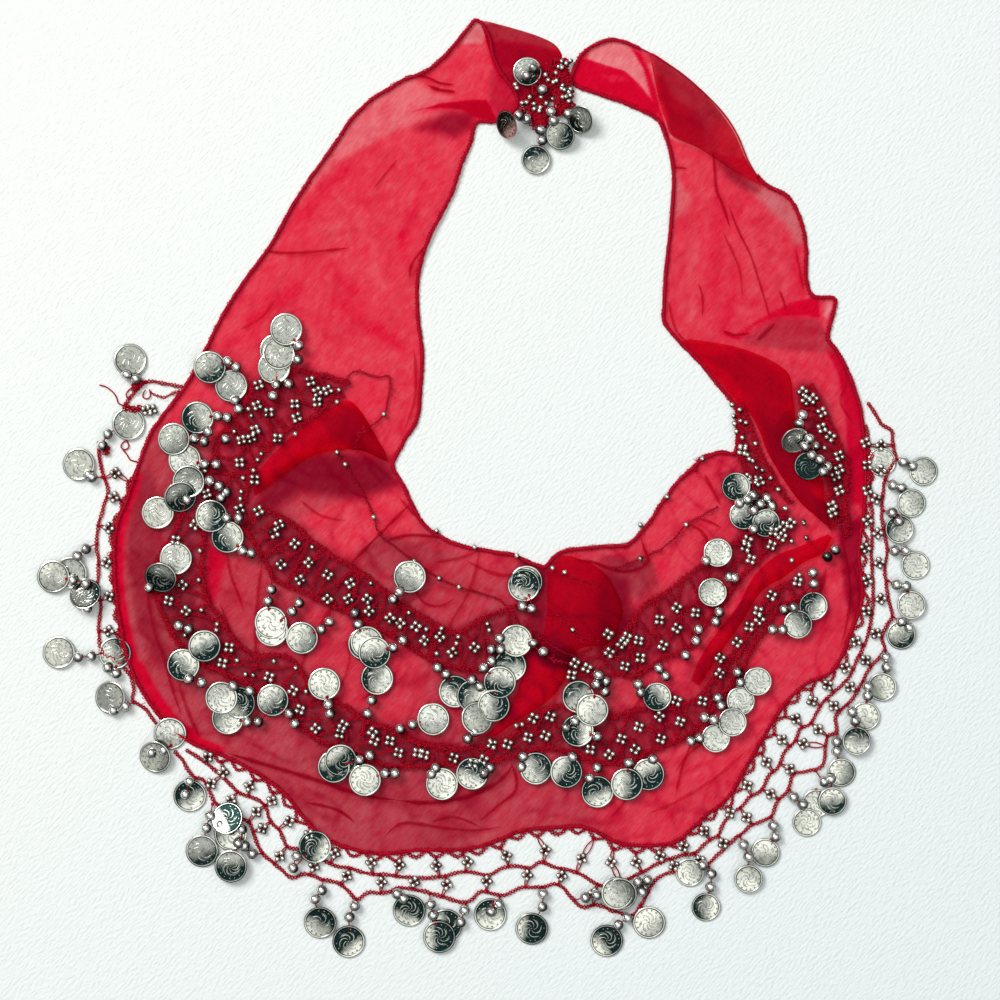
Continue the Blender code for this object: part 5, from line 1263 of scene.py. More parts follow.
def bead(heap, x, y, z, turn, large=True):
    """One bead whose hole points along a direction in the plane."""
    points, faces = LARGE_BALL if large else SEED_BALL
    points = turned(points, turn)
    # Painted shade: the side of a bead away from LIT_FROM is made darker, and a dark band near its rim is a
    # painted reflection. Seed beads are also dulled at random.
    facing = points @ (LIT_FROM + bead_dice.normal(0, 0.18, 3))
    dull = 0.85 if large else 1.0 + bead_dice.choice([0.0, 0.08, 0.16, 0.32])
    dark = dull - 1.5 * facing + 0.5 * large * np.exp(-((facing - 0.5) / 0.14) ** 2)
    radius = LARGE_RADIUS if large else SEED_RADIUS
    heap.add(points * radius + (x, y, z), faces, np.clip(dark, 0, 1))


def cluster(beads, threads, x, y, turn, base=None):
    """Four seed beads, two by two, on crossed threads."""
    base = ground_under(x, y, 2.0) if base is None else base
    for k in range(4):
        angle = turn + pi / 4 + k * pi / 2
        u, v = x + CLUSTER_SPREAD * cos(angle), y + CLUSTER_SPREAD * sin(angle)
        bead(beads, u, v, base + 1.75, angle + pi / 4, large=False)
    for k in range(2):
        angle = turn + k * pi / 2
        u, v = CLUSTER_REACH * cos(angle), CLUSTER_REACH * sin(angle)
        line = [(x - u, y - v, base + 0.5), (x, y, base + 0.6), (x + u, y + v, base + 0.5)]
        tube(threads, line, CLUSTER_THREAD)


print("bead sizes in mm:", 2 * SEED_RADIUS, 2 * LARGE_RADIUS)

# %% [markdown]
# ## Coins
#
# The coins are thin stamped discs with a raised rim, a ring of dots and a swirl of curved blades inside.
# The design is a plain one of no real coin. A stamped face could be a fine grid pushed up and down, but it
# would take ten times the faces for edges as crisp, so the blank is turned from a few rings and every blade
# is a small ridge of its own on it.

# %% Blank and marks of a coin
COIN_RADIUS = 9.5
COIN_WALL = 0.45
COIN_TURNS = 36
# Radius, rise over the face and darkness of each ring, from the middle over the raised rim to the back.
COIN_RINGS = [(3.0, 0.0, 0.06), (5.6, 0.0, 0.06), (7.85, 0.0, 0.10), (8.15, 0.02, 0.75), (8.4, 0.28, 0.25),
              (8.75, 0.34, 0.0), (9.2, 0.3, 0.05), (9.5, 0.05, 0.4), (9.4, -COIN_WALL, 0.5)]
MARK_FOOT = COIN_WALL + 0.02
RIDGE_RISE = 0.24
DOT_TOP = COIN_WALL + 0.28
DOT_SIDES = 6


def blank():
    """A coin without its design: a disc with a raised rim, face up on Z = 0."""
    turn = np.arange(COIN_TURNS) * 2 * pi / COIN_TURNS
    around = np.column_stack([np.cos(turn), np.sin(turn)])
    rings = [np.column_stack([around * radius, np.full(COIN_TURNS, COIN_WALL + rise)])
             for radius, rise, _ in COIN_RINGS]
    count, last = len(rings) * COIN_TURNS, (len(rings) - 1) * COIN_TURNS
    faces = [ring_faces(len(rings), COIN_TURNS), fan_faces(count, 0, COIN_TURNS),
             fan_faces(count + 1, last, COIN_TURNS, far_end=True)]
    darkening = np.repeat([dark for _, _, dark in COIN_RINGS], COIN_TURNS)
    return np.vstack([*rings, (0, 0, COIN_WALL), (0, 0, 0)]), np.vstack(faces), np.append(darkening, [0.06, 0.5])


def ridge(path, width):
    """A raised line that tapers at its ends, bright on its crest and dark at its foot."""
    taper = np.clip(np.sin(pi * np.linspace(0, 1, len(path))) * 2.5, 0.3, 1)[:, None] * width
    side = sideways(path) * taper
    low = np.full((len(path), 1), MARK_FOOT)
    left, right = np.hstack([path + side, low]), np.hstack([path - side, low])
    points = np.stack([left, np.hstack([path, low + RIDGE_RISE]), right], axis=1).reshape(-1, 3)
    return points, grid_faces(len(path), 3), np.tile([0.62, 0.0, 0.62], len(path))


def dot(out, angle, size=0.62):
    """A small raised point at a distance from the middle, bright on top and dark round its foot."""
    x, y = out * cos(angle), out * sin(angle)
    turn = np.arange(DOT_SIDES) * pi / 3
    foot = np.column_stack([x + size * np.cos(turn), y + size * np.sin(turn), np.full(DOT_SIDES, MARK_FOOT)])
    points = np.vstack([foot, (x, y, DOT_TOP)])
    return points, fan_faces(DOT_SIDES, 0, DOT_SIDES), np.array([0.95] * DOT_SIDES + [0.0])


def blade(start, inner, outer, sweep, count):
    """The path of a curved blade that leaves the middle and bends over as it nears the rim."""
    t = np.linspace(0, 1, count)
    turn, out = start + sweep * t ** 1.3, inner + (outer - inner) * t ** 0.8
    return np.column_stack([out * np.cos(turn), out * np.sin(turn)])


print("a blank has", len(blank()[1]), "faces")

# %% Dies
COIN_DOTS = 14
DOTS_RADIUS = 7.1
DIES = 8


def coin_shape(seed):
    """Points, faces and depths of a coin: its blank, dots inside the rim, and a swirl of curved blades."""
    dice = np.random.default_rng(seed)
    parts = [blank(), dot(0.0, 0.0, 0.6)]
    for k in range(COIN_DOTS):
        angle = (k + dice.uniform(-0.15, 0.15)) * 2 * pi / COIN_DOTS
        if dice.uniform() < 0.85:
            parts.append(dot(DOTS_RADIUS, angle))
    blades = int(dice.integers(5, 8))
    sweep = dice.uniform(1.3, 1.9)
    for k in range(blades):
        start = (k + dice.uniform(-0.12, 0.12)) * 2 * pi / blades
        parts.append(ridge(blade(start, 0.9, dice.uniform(5.6, 6.2), sweep, 10), 0.34))
        parts.append(ridge(blade(start + 0.32, 2.4, dice.uniform(5.0, 5.8), 0.75 * sweep, 6), 0.22))
        parts.append(ridge(blade(start + 0.62, 3.6, dice.uniform(5.4, 6.2), 0.45 * sweep, 5), 0.2))
        if dice.uniform() < 0.6:
            parts.append(dot(4.4, start + 0.45 * sweep + pi / blades, dice.uniform(0.3, 0.5)))
    points, faces, depths = zip(*parts)
    starts = np.cumsum([0, *(len(p) for p in points[:-1])])
    faces = [rows + start for rows, start in zip(faces, starts)]
    return np.vstack(points), np.vstack(faces), np.concatenate(depths)


COIN_SHAPES = [coin_shape(seed) for seed in range(DIES)]
print("a coin has", 2 * len(COIN_SHAPES[0][1]), "triangles at most;", len(COIN_SHAPES), "dies differ")

# %% Coins
SMALL_COIN = 0.88
SMALL_FROM_X = 95.0
SMALL_FROM_Y = 130.0
SAME_PLACE = 3.0
# X, Y and wear of the darkest and the brightest coins; the others' wear is thrown. The wear sets a coin's
# tarnish and also how dark the painted reflection on one side of it is.
COIN_WEAR_AND_REFLECTION = [
    (22.5, 241, 0.45), (10.5, 209.5, 0.6), (27.5, 190.5, 0.45), (42, 206, 0.45), (53, 213, 0),
    (184.5, 13, 1.5), (147.5, -15.5, 0.5), (143, 1, 0.7), (160.5, -20, 0.6), (-28.5, -259.5, 0.75),
    (25, -255, 0.75), (-178, -5, 0.6), (-85.5, -157, 0.6), (-46, -244.5, 0.7), (20.5, -56, 0.65),
    (22, -54, 0.6), (68.5, -262, 0.7), (-149, -218.5, 0.6), (-81, -262.5, 0.65), (-151, -190.5, 0.65),
    (-100.5, -207.5, 0.65), (45, -164, 0.6), (-144, -124, 0.6), (-189, -51.5, 0.6), (63, -175.5, 0.55),
    (51.5, -140, 0.6), (92.5, -165.5, 0.55), (-97.5, -251.5, 0.5), (-173, -178, 0.5), (97.5, -120.5, 0.55),
    (-24.5, -253, 0.5), (-160, -16, 0.5), (6.5, -112, 0.5), (188, -68, 0.5), (-151, -28, 0.45),
    (176.5, 27.5, 0.1), (-66, -95, 0.45), (-19.5, -117.5, 0.45), (179, -78.5, 0.4), (3, -125.5, 0.45),
    (80, -171, 0.45), (41.5, 204, 0.45), (-9.5, -165, 0.5), (-166, -210, 0.4), (-164, -91, 0.45),
    (-168.5, 41, 0.45), (12.5, -102.5, 0.45), (52, -120.5, 0.4), (-176.5, -102, 0.45), (-126, -77.5, 0),
    (-219, -121, 0.05), (-181, -40.5, 0), (-191.5, -14, 0), (-123, 80, 0), (-237.5, 14, 0.05),
    (-124, 70, 0), (-121, 78, 0), (-176, 16.5, 0), (-249, -95, 0), (132.5, -37, 0), (-117, 92, 0.08),
    (146, -123, 0.1), (155.5, -111.5, 0.1), (-125.5, -82, 0.05), (-71.5, -168.5, 0.12), (-27, -171, 0.12),
    (-95, -113, 0.1), (245, -67.5, 0.1),
]
WEAR_AND_REFLECTION_LEVELS = [0.12, 0.2, 0.3, 0.42]
coin_dice = np.random.default_rng(77)
coin_tops = []


def coin(heap, x, y, z, tilt, lean_turn):
    """One coin with its own turn, face and slight bend, tilted about a line in the plane."""
    size = SMALL_COIN if x > SMALL_FROM_X or y > SMALL_FROM_Y else 1.0
    points, faces, darkening = COIN_SHAPES[int(coin_dice.integers(len(COIN_SHAPES)))]
    points = turned(points, coin_dice.uniform(0, 2 * pi))
    bend = coin_dice.uniform(-0.35, 0.35)
    points = points * (size, size, 1) + np.outer(bend * (points[:, 0] / COIN_RADIUS) ** 2, (0, 0, 1))
    u, v = cos(lean_turn), sin(lean_turn)
    across = points[:, 0] * u + points[:, 1] * v
    along = -points[:, 0] * v + points[:, 1] * u
    height = points[:, 2] * cos(tilt) + across * sin(tilt)
    placed = turned(np.column_stack([across * cos(tilt), along, height]), lean_turn)
    known = [wear_and_reflection for u, v, wear_and_reflection in COIN_WEAR_AND_REFLECTION if hypot(x - u, y - v) < SAME_PLACE]
    turn = coin_dice.uniform(0, 2 * pi)
    wear_and_reflection = known[0] if known else coin_dice.choice(WEAR_AND_REFLECTION_LEVELS)
    # Painted reflection: the coin is made darker towards one side, at a random turn, and more so the greater
    # its wear.
    half = (points[:, 0] * cos(turn) + points[:, 1] * sin(turn)) / COIN_RADIUS
    tarnish_and_reflection = wear_and_reflection * np.clip(0.35 + wear_and_reflection + 1.6 * half, 0.1, 1.4)
    tarnish_and_reflection = tarnish_and_reflection * np.where(darkening < 0.01, 0.25, 1.15)
    heap.add(placed + (x, y, z - placed[:, 2].min()), faces, np.clip(darkening + tarnish_and_reflection, 0, 1))
    coin_tops.append((x, y, z + min(float(np.ptp(placed[:, 2])), 3.0)))


print("coins whose wear is given:", len(COIN_WEAR_AND_REFLECTION))

# %% [markdown]
# ## Drops
#
# A drop is a thread from its chain, two large beads and a coin. The thread ends in a knot through the
# coin's hole. The heights come from the grid, and a coin that lies on another is a step higher.

# %% Where the drops lie
Drop = namedtuple("Drop", "root_x root_y first_x first_y second_x second_y coin_x coin_y layer")
DROPS = {
    "fringe_left_end": [
        (-198.5, 62, -204, 63.5, -209.5, 66, -207.5, 74.5, 0),
    ],
    "fringe_left": [
        (-224.5, 23, -223.5, 25, -220.5, 31.5, -208.5, 37.5, 0),
        (-224, 6.5, -229.5, 6.5, -231.5, 8, -237.5, 14, 0), (-227, -32, -233, -35, -238, -39, -242, -49, 0),
        (-227, -57, -233, -55, -240.5, -53, -252, -51, 1),
        (-224.5, -95.5, -230, -97, -237.5, -97.5, -249, -95, 0),
        (-206, -124, -210, -126, -217, -128.5, -219, -121, 0),
        (-184, -149, -188, -151.5, -195, -153, -193, -155.5, 0),
    ],
    "fringe_bottom": [
        (-169.5, -168, -173, -169.5, -175.5, -177, -173, -178, 0),
        (-160, -183, -161, -189.5, -163.5, -196.5, -166, -210, 0),
        (-149, -185.5, -142.5, -197, -144.5, -205, -149, -218.5, 2),
        (-131.5, -211.5, -136.5, -211.5, -141, -207, -149.5, -200.5, 0),
        (-96, -227, -96.5, -232.5, -100.5, -237.5, -97.5, -251.5, 0),
        (-76.5, -238.5, -77.5, -241.5, -80.5, -248, -81, -262.5, 0),
        (-53, -233, -53, -234.5, -49, -237.5, -46, -244.5, 0),
        (-34, -235, -33.5, -240.5, -32, -247, -28.5, -259.5, 1),
        (-13, -240.5, -14, -244, -16, -251, -24.5, -253, 0),
        (6.5, -236.5, 6, -240.5, 1.5, -245, 1, -247, 0),
        (30.5, -231.5, 31.5, -234.5, 31, -242, 25, -255, 0),
        (49.5, -238, 56, -236.5, 62.5, -235, 74.5, -234, 2),
        (83, -247.5, 80.5, -248.5, 75, -252.5, 68.5, -262, 0),
        (88, -241.5, None, None, None, None, 93, -251.5, 0),
        (127.5, -219, 129, -223, 128.5, -230.5, 126, -242.5, 0),
        (145.5, -201.5, 147.5, -206, 150.5, -213, 150.5, -226, 1),
        (164, -190.5, 165, -195, 166, -201.5, 160.5, -211, 0),
        (174.5, -174.5, 176.5, -178.5, 182, -183, 184.5, -193.5, 0),
        (189.5, -163.5, 194, -169.5, 198, -168, 199, -181, 1),
        (202, -142, 201.5, -146.5, 201.5, -152, 204.5, -164.5, 0),
        (207.5, -125, 210, -129, 212, -134.5, 213, -146, 2),
        (217, -111.5, 219.5, -114.5, 219.5, -120, 218.5, -132, 0),
        (230, -94, 230, -97.5, 230.5, -103.5, 228, -115, 0),
        (234.5, -74.5, 239, -77, 243.5, -80.5, 239, -85, 0),
        (231.5, -53.5, 236, -55.5, 241.5, -56.5, 245, -67.5, 1),
        (231.5, -35.5, 235, -36, 241.5, -36, 247.5, -44.5, 0),
        (229, -13, 233.5, -14, 237.5, -19, 238, -23.5, 1), (230, 5.5, 234, 2, 239, 0.5, 245, -8.5, 0),
        (236.5, 17, 240, 15.5, 245.5, 13, 252, 10, 0),
    ],
    "knot_fringe": [
        (34.5, 232.5, 31, 230.5, 27, 242.5, 22.5, 241, 0),
        (26, 218.5, 22, 213.5, 18.5, 215, 10.5, 209.5, 1),
        (28.5, 209.5, 30, 207.5, 31, 201.5, 27.5, 190.5, 0), (35, 219.5, 36, 218, 37.5, 212, 41.5, 204, 1),
        (44.5, 222, 46, 217, None, None, 53, 213, 0),
    ],
    "lace_upper_left": [
        (-110.5, 68, -110, 74.5, -109.5, 82.5, -117, 92, 1),
        (-123, 66.5, -122.5, 60, None, None, -123, 80, 0),
        (-136, 59.5, -145.5, 70, -150.5, 73.5, -161, 70, 2),
        (-143.5, 45.5, -144.5, 46, -146.5, 51, -149, 59.5, 0),
        (-148, 38.5, -151, 41, -156.5, 42, -168.5, 41, 0),
        (-155, 27.5, -164, 27, -170, 28.5, -182, 28.5, 1),
        (-159, 13.5, -157.5, 14, -164, 14, -176, 16.5, 0),
        (-161.5, 1, -155.5, 1.5, -161, 4.5, -173.5, 4, 1),
    ],
    "lace_upper_middle": [
        (-146.5, -17.5, -144, -17, -151, -17, -160, -16, 2),
        (-131.5, -38.5, -137, -37.5, -142, -36, -151, -28, 1),
        (-125.5, -47.5, -125.5, -58.5, -127.5, -65, -126, -77.5, 0),
        (-92, -67.5, -92, -77, -96.5, -81.5, -108, -86.5, 0),
        (-74.5, -76.5, -77, -72, -75.5, -78.5, -72, -90, 0),
        (-44.5, -91, -49.5, -87.5, -55, -92, -66, -95, 1),
        (-55.5, -62.5, -55, -64, -51.5, -59.5, -45.5, -51, 1),
        (-30.5, -99, -29.5, -103.5, -24.5, -107.5, -19.5, -117.5, 0),
        (-12, -104.5, -9.5, -110.5, -5, -114.5, -9, -120, 1), (2, -100, 2, -99.5, -3, -103.5, 6.5, -112, 2),
        (20, -66.5, 19.5, -68, 25, -69.5, 22, -54, 0),
    ],
    "lace_upper_right": [
        (122.5, -45.5, 125.5, -41.5, None, None, 132.5, -37, 2),
        (88, -107.5, 86.5, -113, 88, -118, 97.5, -120.5, 1),
        (59, -115.5, 63.5, -107.5, 62.5, -113, 60, -128, 2),
    ],
    "lace_tie_inner": [
        (152, 8, 153, -4, 150, -6.5, 143, 1, 2), (159, -2.5, 157, -9, 153, -12.5, 147.5, -15.5, 1),
    ],
    "lace_lower": [
        (-179.5, -17, -174.5, -6.5, None, None, -191.5, -14, 0),
        (-165, -101, -165.5, -112, -173, -110, -176.5, -102, 1),
        (-152, -108, -147.5, -114, None, None, -154.5, -121, 1),
        (-124, -126, -133, -135, -139.5, -135, -151, -133, 0),
        (-90, -125, -91.5, -130, -92.5, -124.5, -95, -113, 1),
        (-67.5, -135, -70, -130, -67.5, -122.5, -64.5, -110, 0),
        (-48, -143.5, -51, -139, -44, -136.5, -32, -133.5, 0),
        (-87.5, -150, -68.5, -154, -74.5, -157, -89.5, -161, 0),
        (-53.5, -160.5, -54, -164.5, -59.5, -164.5, -71.5, -168.5, 1),
        (-30, -160, -30.5, -161.5, -33, -165, -27, -171, 0),
        (27.5, -151, 20, -155, 19, -161, 27.5, -162, 0), (46, -153, 48.5, -155, None, None, 45, -164, 1),
        (63.5, -159, 63, -161.5, 58.5, -167.5, 63, -175.5, 0),
        (78.5, -158.5, 81, -158.5, None, None, 80, -171, 1),
        (94, -154, 95, -156.5, None, None, 92.5, -165.5, 0),
        (117.5, -140.5, 117, -146, 122, -144.5, 131.5, -144.5, 0),
        (127.5, -132, 124.5, -132, 130, -133.5, 141, -135, 2),
        (135.5, -118.5, 132.5, -121, 134.5, -125.5, 146, -123, 0),
        (146, -104, 144, -106, 145.5, -112, 155.5, -111.5, 1),
        (163.5, -77.5, 164, -81.5, 170, -81.5, 179, -78.5, 1),
        (182.5, -60, 188, -55, 187.5, -48.5, 188, -68, 0),
    ],
}
# X and Y of the coins that stand tilted on others, their tilt, and the turn of its axis, in degrees.
TILTED = [
    (10.5, 209.5, 48, 20), (53, 213, 34, 35), (42, 206, 20, 60), (-216.5, -122.5, 18, 0),
    (-192.5, -153.5, 16, 40),
]
print("drops in borders:", sum(len(rows) for rows in DROPS.values()))

# %% Hang a drop
STACK = 1.7
HOLE_INSET = 1.6
HOLE_HEIGHT = 1.3
COIN_GAP = 0.35
OVER_CLOTH = 0.8
DROP_THREAD = 0.36
drop_dice = np.random.default_rng(31)


def knot(heap, place, size, radius=0.34):
    """A few turns of thread drawn tight."""
    x, y, z = place
    turn = np.linspace(0, 4 * pi, 17)
    wave = size * (0.75 + 0.25 * np.cos(3 * turn))
    line = np.column_stack([x + wave * np.cos(turn), y + wave * np.sin(turn), z + 0.5 * np.sin(1.5 * turn)])
    tube(heap, line, radius)


def hang(heaps, places, coin_place, layer, tilt, on_cloth, axis=None):
    """Threads a coin on the end of a line of beads; places are the root and then the beads."""
    threads, beads, coins = heaps
    cx, cy = coin_place
    low = ground_under(cx, cy, COIN_RADIUS) + OVER_CLOTH if on_cloth else 0.0
    base = low + COIN_GAP + layer * STACK
    last = places[-1] if places else (cx, cy + COIN_RADIUS)
    towards = atan2(last[1] - cy, last[0] - cx)
    small = drop_dice.uniform(0.0, 0.07 if on_cloth else 0.13)
    across = towards + drop_dice.uniform(-0.8, 0.8) if axis is None else radians(axis)
    coin(coins, cx, cy, base, tilt if tilt else small, across)
    reach = COIN_RADIUS - HOLE_INSET
    hole_x, hole_y = cx + reach * cos(towards), cy + reach * sin(towards)
    line = []
    for number, (x, y) in enumerate(places):
        low = ground_under(x, y, 2.5) if on_cloth else 0.0
        line.append((x, y, max(low, base - 1.2) + (LARGE_RADIUS + 0.2 if number else 1.4)))
    line.append((hole_x, hole_y, base + HOLE_HEIGHT))
    for (x, y, z), following in zip(line[1:-1], line[2:]):
        bead(beads, x, y, z, atan2(following[1] - y, following[0] - x))
    if len(line) > 1:
        tube(threads, even_line(smooth_line(line, 5), 1.2), DROP_THREAD)
        knot(threads, line[0], 0.8)
    knot(threads, (hole_x, hole_y, base + HOLE_HEIGHT - 0.2), 0.9)


print("a coin on another lies", STACK, "mm higher")

# %% Hang and finish a border
def hang_border(name, on_cloth=True):
    """Every drop of one border, as three joined meshes: its thread, large beads and coins."""
    heaps = Heap(), Heap(), Heap()
    for drop in map(Drop._make, DROPS.get(name, [])):
        places = [(drop.root_x, drop.root_y)]
        for x, y in ((drop.first_x, drop.first_y), (drop.second_x, drop.second_y)):
            if x is not None:
                places.append((x, y))
        end = (drop.coin_x, drop.coin_y)
        leaning = [(tilt, axis) for x, y, tilt, axis in TILTED if hypot(end[0] - x, end[1] - y) < SAME_PLACE]
        tilt, axis = leaning[0] if leaning else (0, None)
        hang(heaps, places, end, drop.layer, radians(tilt), on_cloth, axis)
    return heaps


def finish_border(name, threads, beads=None, coins=None, seeds=None):
    """Turns the heaps of a border into its pieces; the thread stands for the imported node."""
    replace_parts(threads.object(name + "_thread", CRIMSON, "thread"), name)
    for ending, heap, silver in (("_beads", beads, BEAD_SILVER), ("_coins", coins, COIN_SILVER),
                                 ("_seed_beads", seeds, SEED_SILVER)):
        if heap and heap.count:
            heap.object(name + ending, silver, "coins")


print("borders with drops:", list(DROPS))

# %% [markdown]
# ## The net beyond the hem
#
# Three chains run round the hem: a zigzag that catches the cloth, a middle one, and the outermost one that
# carries the drops. Clusters of four seed beads hold them apart.

# %% Courses of the chains
MIDDLE_CHAIN = [
    (-175.5, -151.5), (-164.5, -158.5), (-152, -169), (-145.5, -176), (-137, -179), (-129.5, -184),
    (-126.5, -193), (-120.5, -199), (-117, -207.5), (-108.5, -209), (-99.5, -213.5), (-89, -218.5),
    (-80.5, -220), (-71, -223), (-54, -224.5), (-39, -226), (-25, -224.5), (-13.5, -222), (-0.5, -224),
    (8, -220), (15, -219), (24, -220), (30, -216.5), (39, -219.5), (51, -222.5), (59, -227), (67.5, -230.5),
    (76.5, -228), (84.5, -224.5), (93.5, -220), (102.5, -215.5), (112, -212.5), (119, -211.5),
    (126.5, -205), (133, -201), (136.5, -193.5), (142, -187.5), (147, -184.5), (150.5, -179.5),
    (158.5, -174.5), (162, -167), (168, -161.5), (171.5, -153), (178, -146), (180.5, -139), (187, -136),
    (192.5, -126), (200, -118), (209, -109.5), (213.5, -99.5), (219, -88), (222, -75), (223, -64.5),
    (222.5, -50), (222, -38), (222.5, -20), (221.5, -2), (220.5, 13.5), (220, 28), (219, 37),
]
OUTER_CHAINS = {
    "fringe_bottom": [
        (-182, -152), (-176.5, -159), (-171, -167), (-165, -169), (-161.5, -176.5), (-157, -183.5),
        (-147.5, -186), (-143, -191), (-138, -194.5), (-135, -204), (-130, -212.5), (-122, -219),
        (-114.5, -225.5), (-106, -223.5), (-96.5, -226.5), (-85.5, -229.5), (-76.5, -238), (-70, -234),
        (-60, -234.5), (-51.5, -231.5), (-41.5, -232.5), (-27, -236.5), (-13, -240), (-4, -233.5),
        (8.5, -236), (18.5, -231.5), (30.5, -231), (40.5, -229.5), (48.5, -237.5), (54, -242.5),
        (63.5, -241.5), (73, -245), (84, -247), (91, -237), (96.5, -227.5), (103, -223), (115.5, -222),
        (125, -220), (129.5, -215.5), (136, -209.5), (144, -202), (153, -195), (164, -190), (167, -182),
        (173.5, -175), (177, -165.5), (187.5, -163.5), (194, -160), (195, -151.5), (196.5, -143.5),
        (202, -141), (201, -132.5), (207, -125.5), (212, -121), (216.5, -112), (221.5, -103.5),
        (229.5, -94), (228, -87.5), (230, -80.5), (234, -74), (231.5, -63), (230, -51.5), (230, -44.5),
        (231, -35.5), (229, -24), (228, -12.5), (229.5, 4), (233.5, 13), (236, 17.5), (234.5, 25),
        (233.5, 33.5), (227.5, 37.5), (223.5, 44.5), (220, 50),
    ],
    "fringe_left": [
        (-226, 27.5), (-225.5, 19.5), (-223.5, 8.5), (-220.5, -2), (-224, -13.5), (-226.5, -24),
        (-227.5, -33), (-226, -41.5), (-226.5, -52), (-227, -59), (-224.5, -67.5), (-226, -79),
        (-224.5, -94), (-216, -99.5), (-209, -106.5), (-205.5, -115.5), (-206, -123), (-199, -127.5),
        (-193, -135.5), (-186.5, -143.5), (-183.5, -149),
    ],
    "fringe_left_end": [
        (-177, 59), (-183.5, 60), (-189.5, 61), (-197, 62), (-203.5, 57.5), (-207.5, 53), (-211, 48.5),
    ],
}
HEM_LINE = EDGES[:, 2:4]
NET_HEIGHT = 0.9


def zigzag(line, out, pitch):
    """A line that swings off another and back once every pitch."""
    line = even_line(line, 1.5)
    run = np.arange(len(line)) * 1.5
    swing = out * (1 - np.abs(2 * (run / pitch % 1.0) - 1)) ** 0.8
    return line - sideways(line) * swing[:, None]


def rung(threads, seeds, x, y, inner_line, outer_line):
    """A bead cluster between two chains, tied to both by doubled threads."""
    a, b = nearest(inner_line, x, y), nearest(outer_line, x, y)
    cluster(seeds, threads, x, y, atan2(b[1] - a[1], b[0] - a[0]) + pi / 4, 0.0)
    for sag in (-0.12, 0.12):
        link(threads, a, (x, y), sag)
        link(threads, (x, y), b, sag)
    for end in (a, b):
        knot(threads, (*end, 1.1), 0.9)


print("outermost chains:", list(OUTER_CHAINS))

# %% Net at the bottom
# Middles of the clusters between the first row and the middle chain, then between that and the outermost.
INNER_CLUSTERS = [
    (-162.5, -155.5), (-153.5, -164.5), (-138.5, -172.5), (-125.5, -181), (-115.5, -193), (-104, -200.5),
    (-89, -211.5), (-68, -217), (-51.5, -218), (-30.5, -218.5), (-12, -216.5), (10.5, -213), (33, -209.5),
    (54, -214.5), (71, -216.5), (85.5, -216.5), (99.5, -213), (113, -207.5), (125, -198.5), (140, -188),
    (150, -172), (161, -158.5), (170, -145.5), (178, -133.5), (187.5, -123), (196.5, -114), (207, -104),
    (213, -88.5), (219, -71), (219.5, -53), (218.5, -34.5), (219.5, -18.5), (219.5, -1), (219.5, 13.5),
    (218.5, 26.5),
]
OUTER_CLUSTERS = [
    (-160.5, -171), (-149, -180.5), (-134.5, -187.5), (-131, -197), (-121, -213), (-101, -219),
    (-82, -224.5), (-62, -228), (-43, -228), (-24, -229.5), (-1, -227.5), (22.5, -224), (42.5, -224.5),
    (61, -234.5), (89, -232.5), (107.5, -218.5), (122.5, -215.5), (136, -205.5), (149.5, -190.5),
    (163.5, -177), (174.5, -162.5), (182.5, -148), (191, -139.5), (200, -126), (209.5, -115),
    (218.5, -99.5), (224.5, -84), (227.5, -64), (226.5, -43), (225.5, -26), (224.5, -6), (227.5, 10.5),
    (227.5, 25),
]
END_CLUSTERS = [
    (-195, 45.5), (-198, 45.5),
]


def crochet_net():
    """The net along the bottom and the right, in two rows of cells."""
    threads, seeds = Heap(), Heap()
    middle = smooth_line(MIDDLE_CHAIN, 4)
    outer = smooth_line(OUTER_CHAINS["fringe_bottom"], 4)
    first_row = zigzag(part_of(HEM_LINE, INNER_CLUSTERS[0], INNER_CLUSTERS[-1]), 4.6, 12.0)
    chain(threads, first_row, NET_HEIGHT, 41, lie=False)
    chain(threads, middle, NET_HEIGHT, 42, lie=False)
    for x, y in INNER_CLUSTERS:
        rung(threads, seeds, x, y, first_row, middle)
    for x, y in OUTER_CLUSTERS:
        rung(threads, seeds, x, y, middle, outer)
    for x, y in END_CLUSTERS:
        cluster(seeds, threads, x, y, 0.4, 0.0)
    finish_border("net_bottom", threads, seeds=seeds)


crochet_net()

# %% Net at the left
LEFT_CLUSTERS = [
    (-216, 9), (-217, -5), (-220, -23), (-221.5, -43), (-220, -62.5), (-220, -82.5),
]
# Ends of thread that lie loose, and the middles of small tangles.
TAILS = [
    [(-225.5, 60), (-222, 59), (-218.5, 56.5), (-216, 53.5), (-214.5, 49.5), (-211.5, 48), (-207.5, 46.5)],
    [(-206, 59), (-209, 56.5), (-210, 54), (-209, 52), (-208, 53.5)],
    [(-209.5, 28), (-212, 26.5), (-213, 24), (-211, 22.5), (-208.5, 24), (-209.5, 27.5)],
    [(-212, 22.5), (-209.5, 19.5), (-207.5, 16.5), (-203.5, 15.5)],
    [(-199, 57), (-200.5, 53.5), (-198, 52), (-196, 53.5), (-196.5, 57.5)],
    [(-226.5, 22.5), (-226, 16.5), (-224, 9.5)],
]
TANGLES = [
    (-204, 60), (-201, 61), (-205.5, 58.5), (-210, 46.5), (-206, 46), (-202, 46), (-222, 23.5),
    (-221.5, 20.5),
]
LEFT_FROM = (-214.0, 10.0)
LEFT_TO = (-209.0, -99.0)


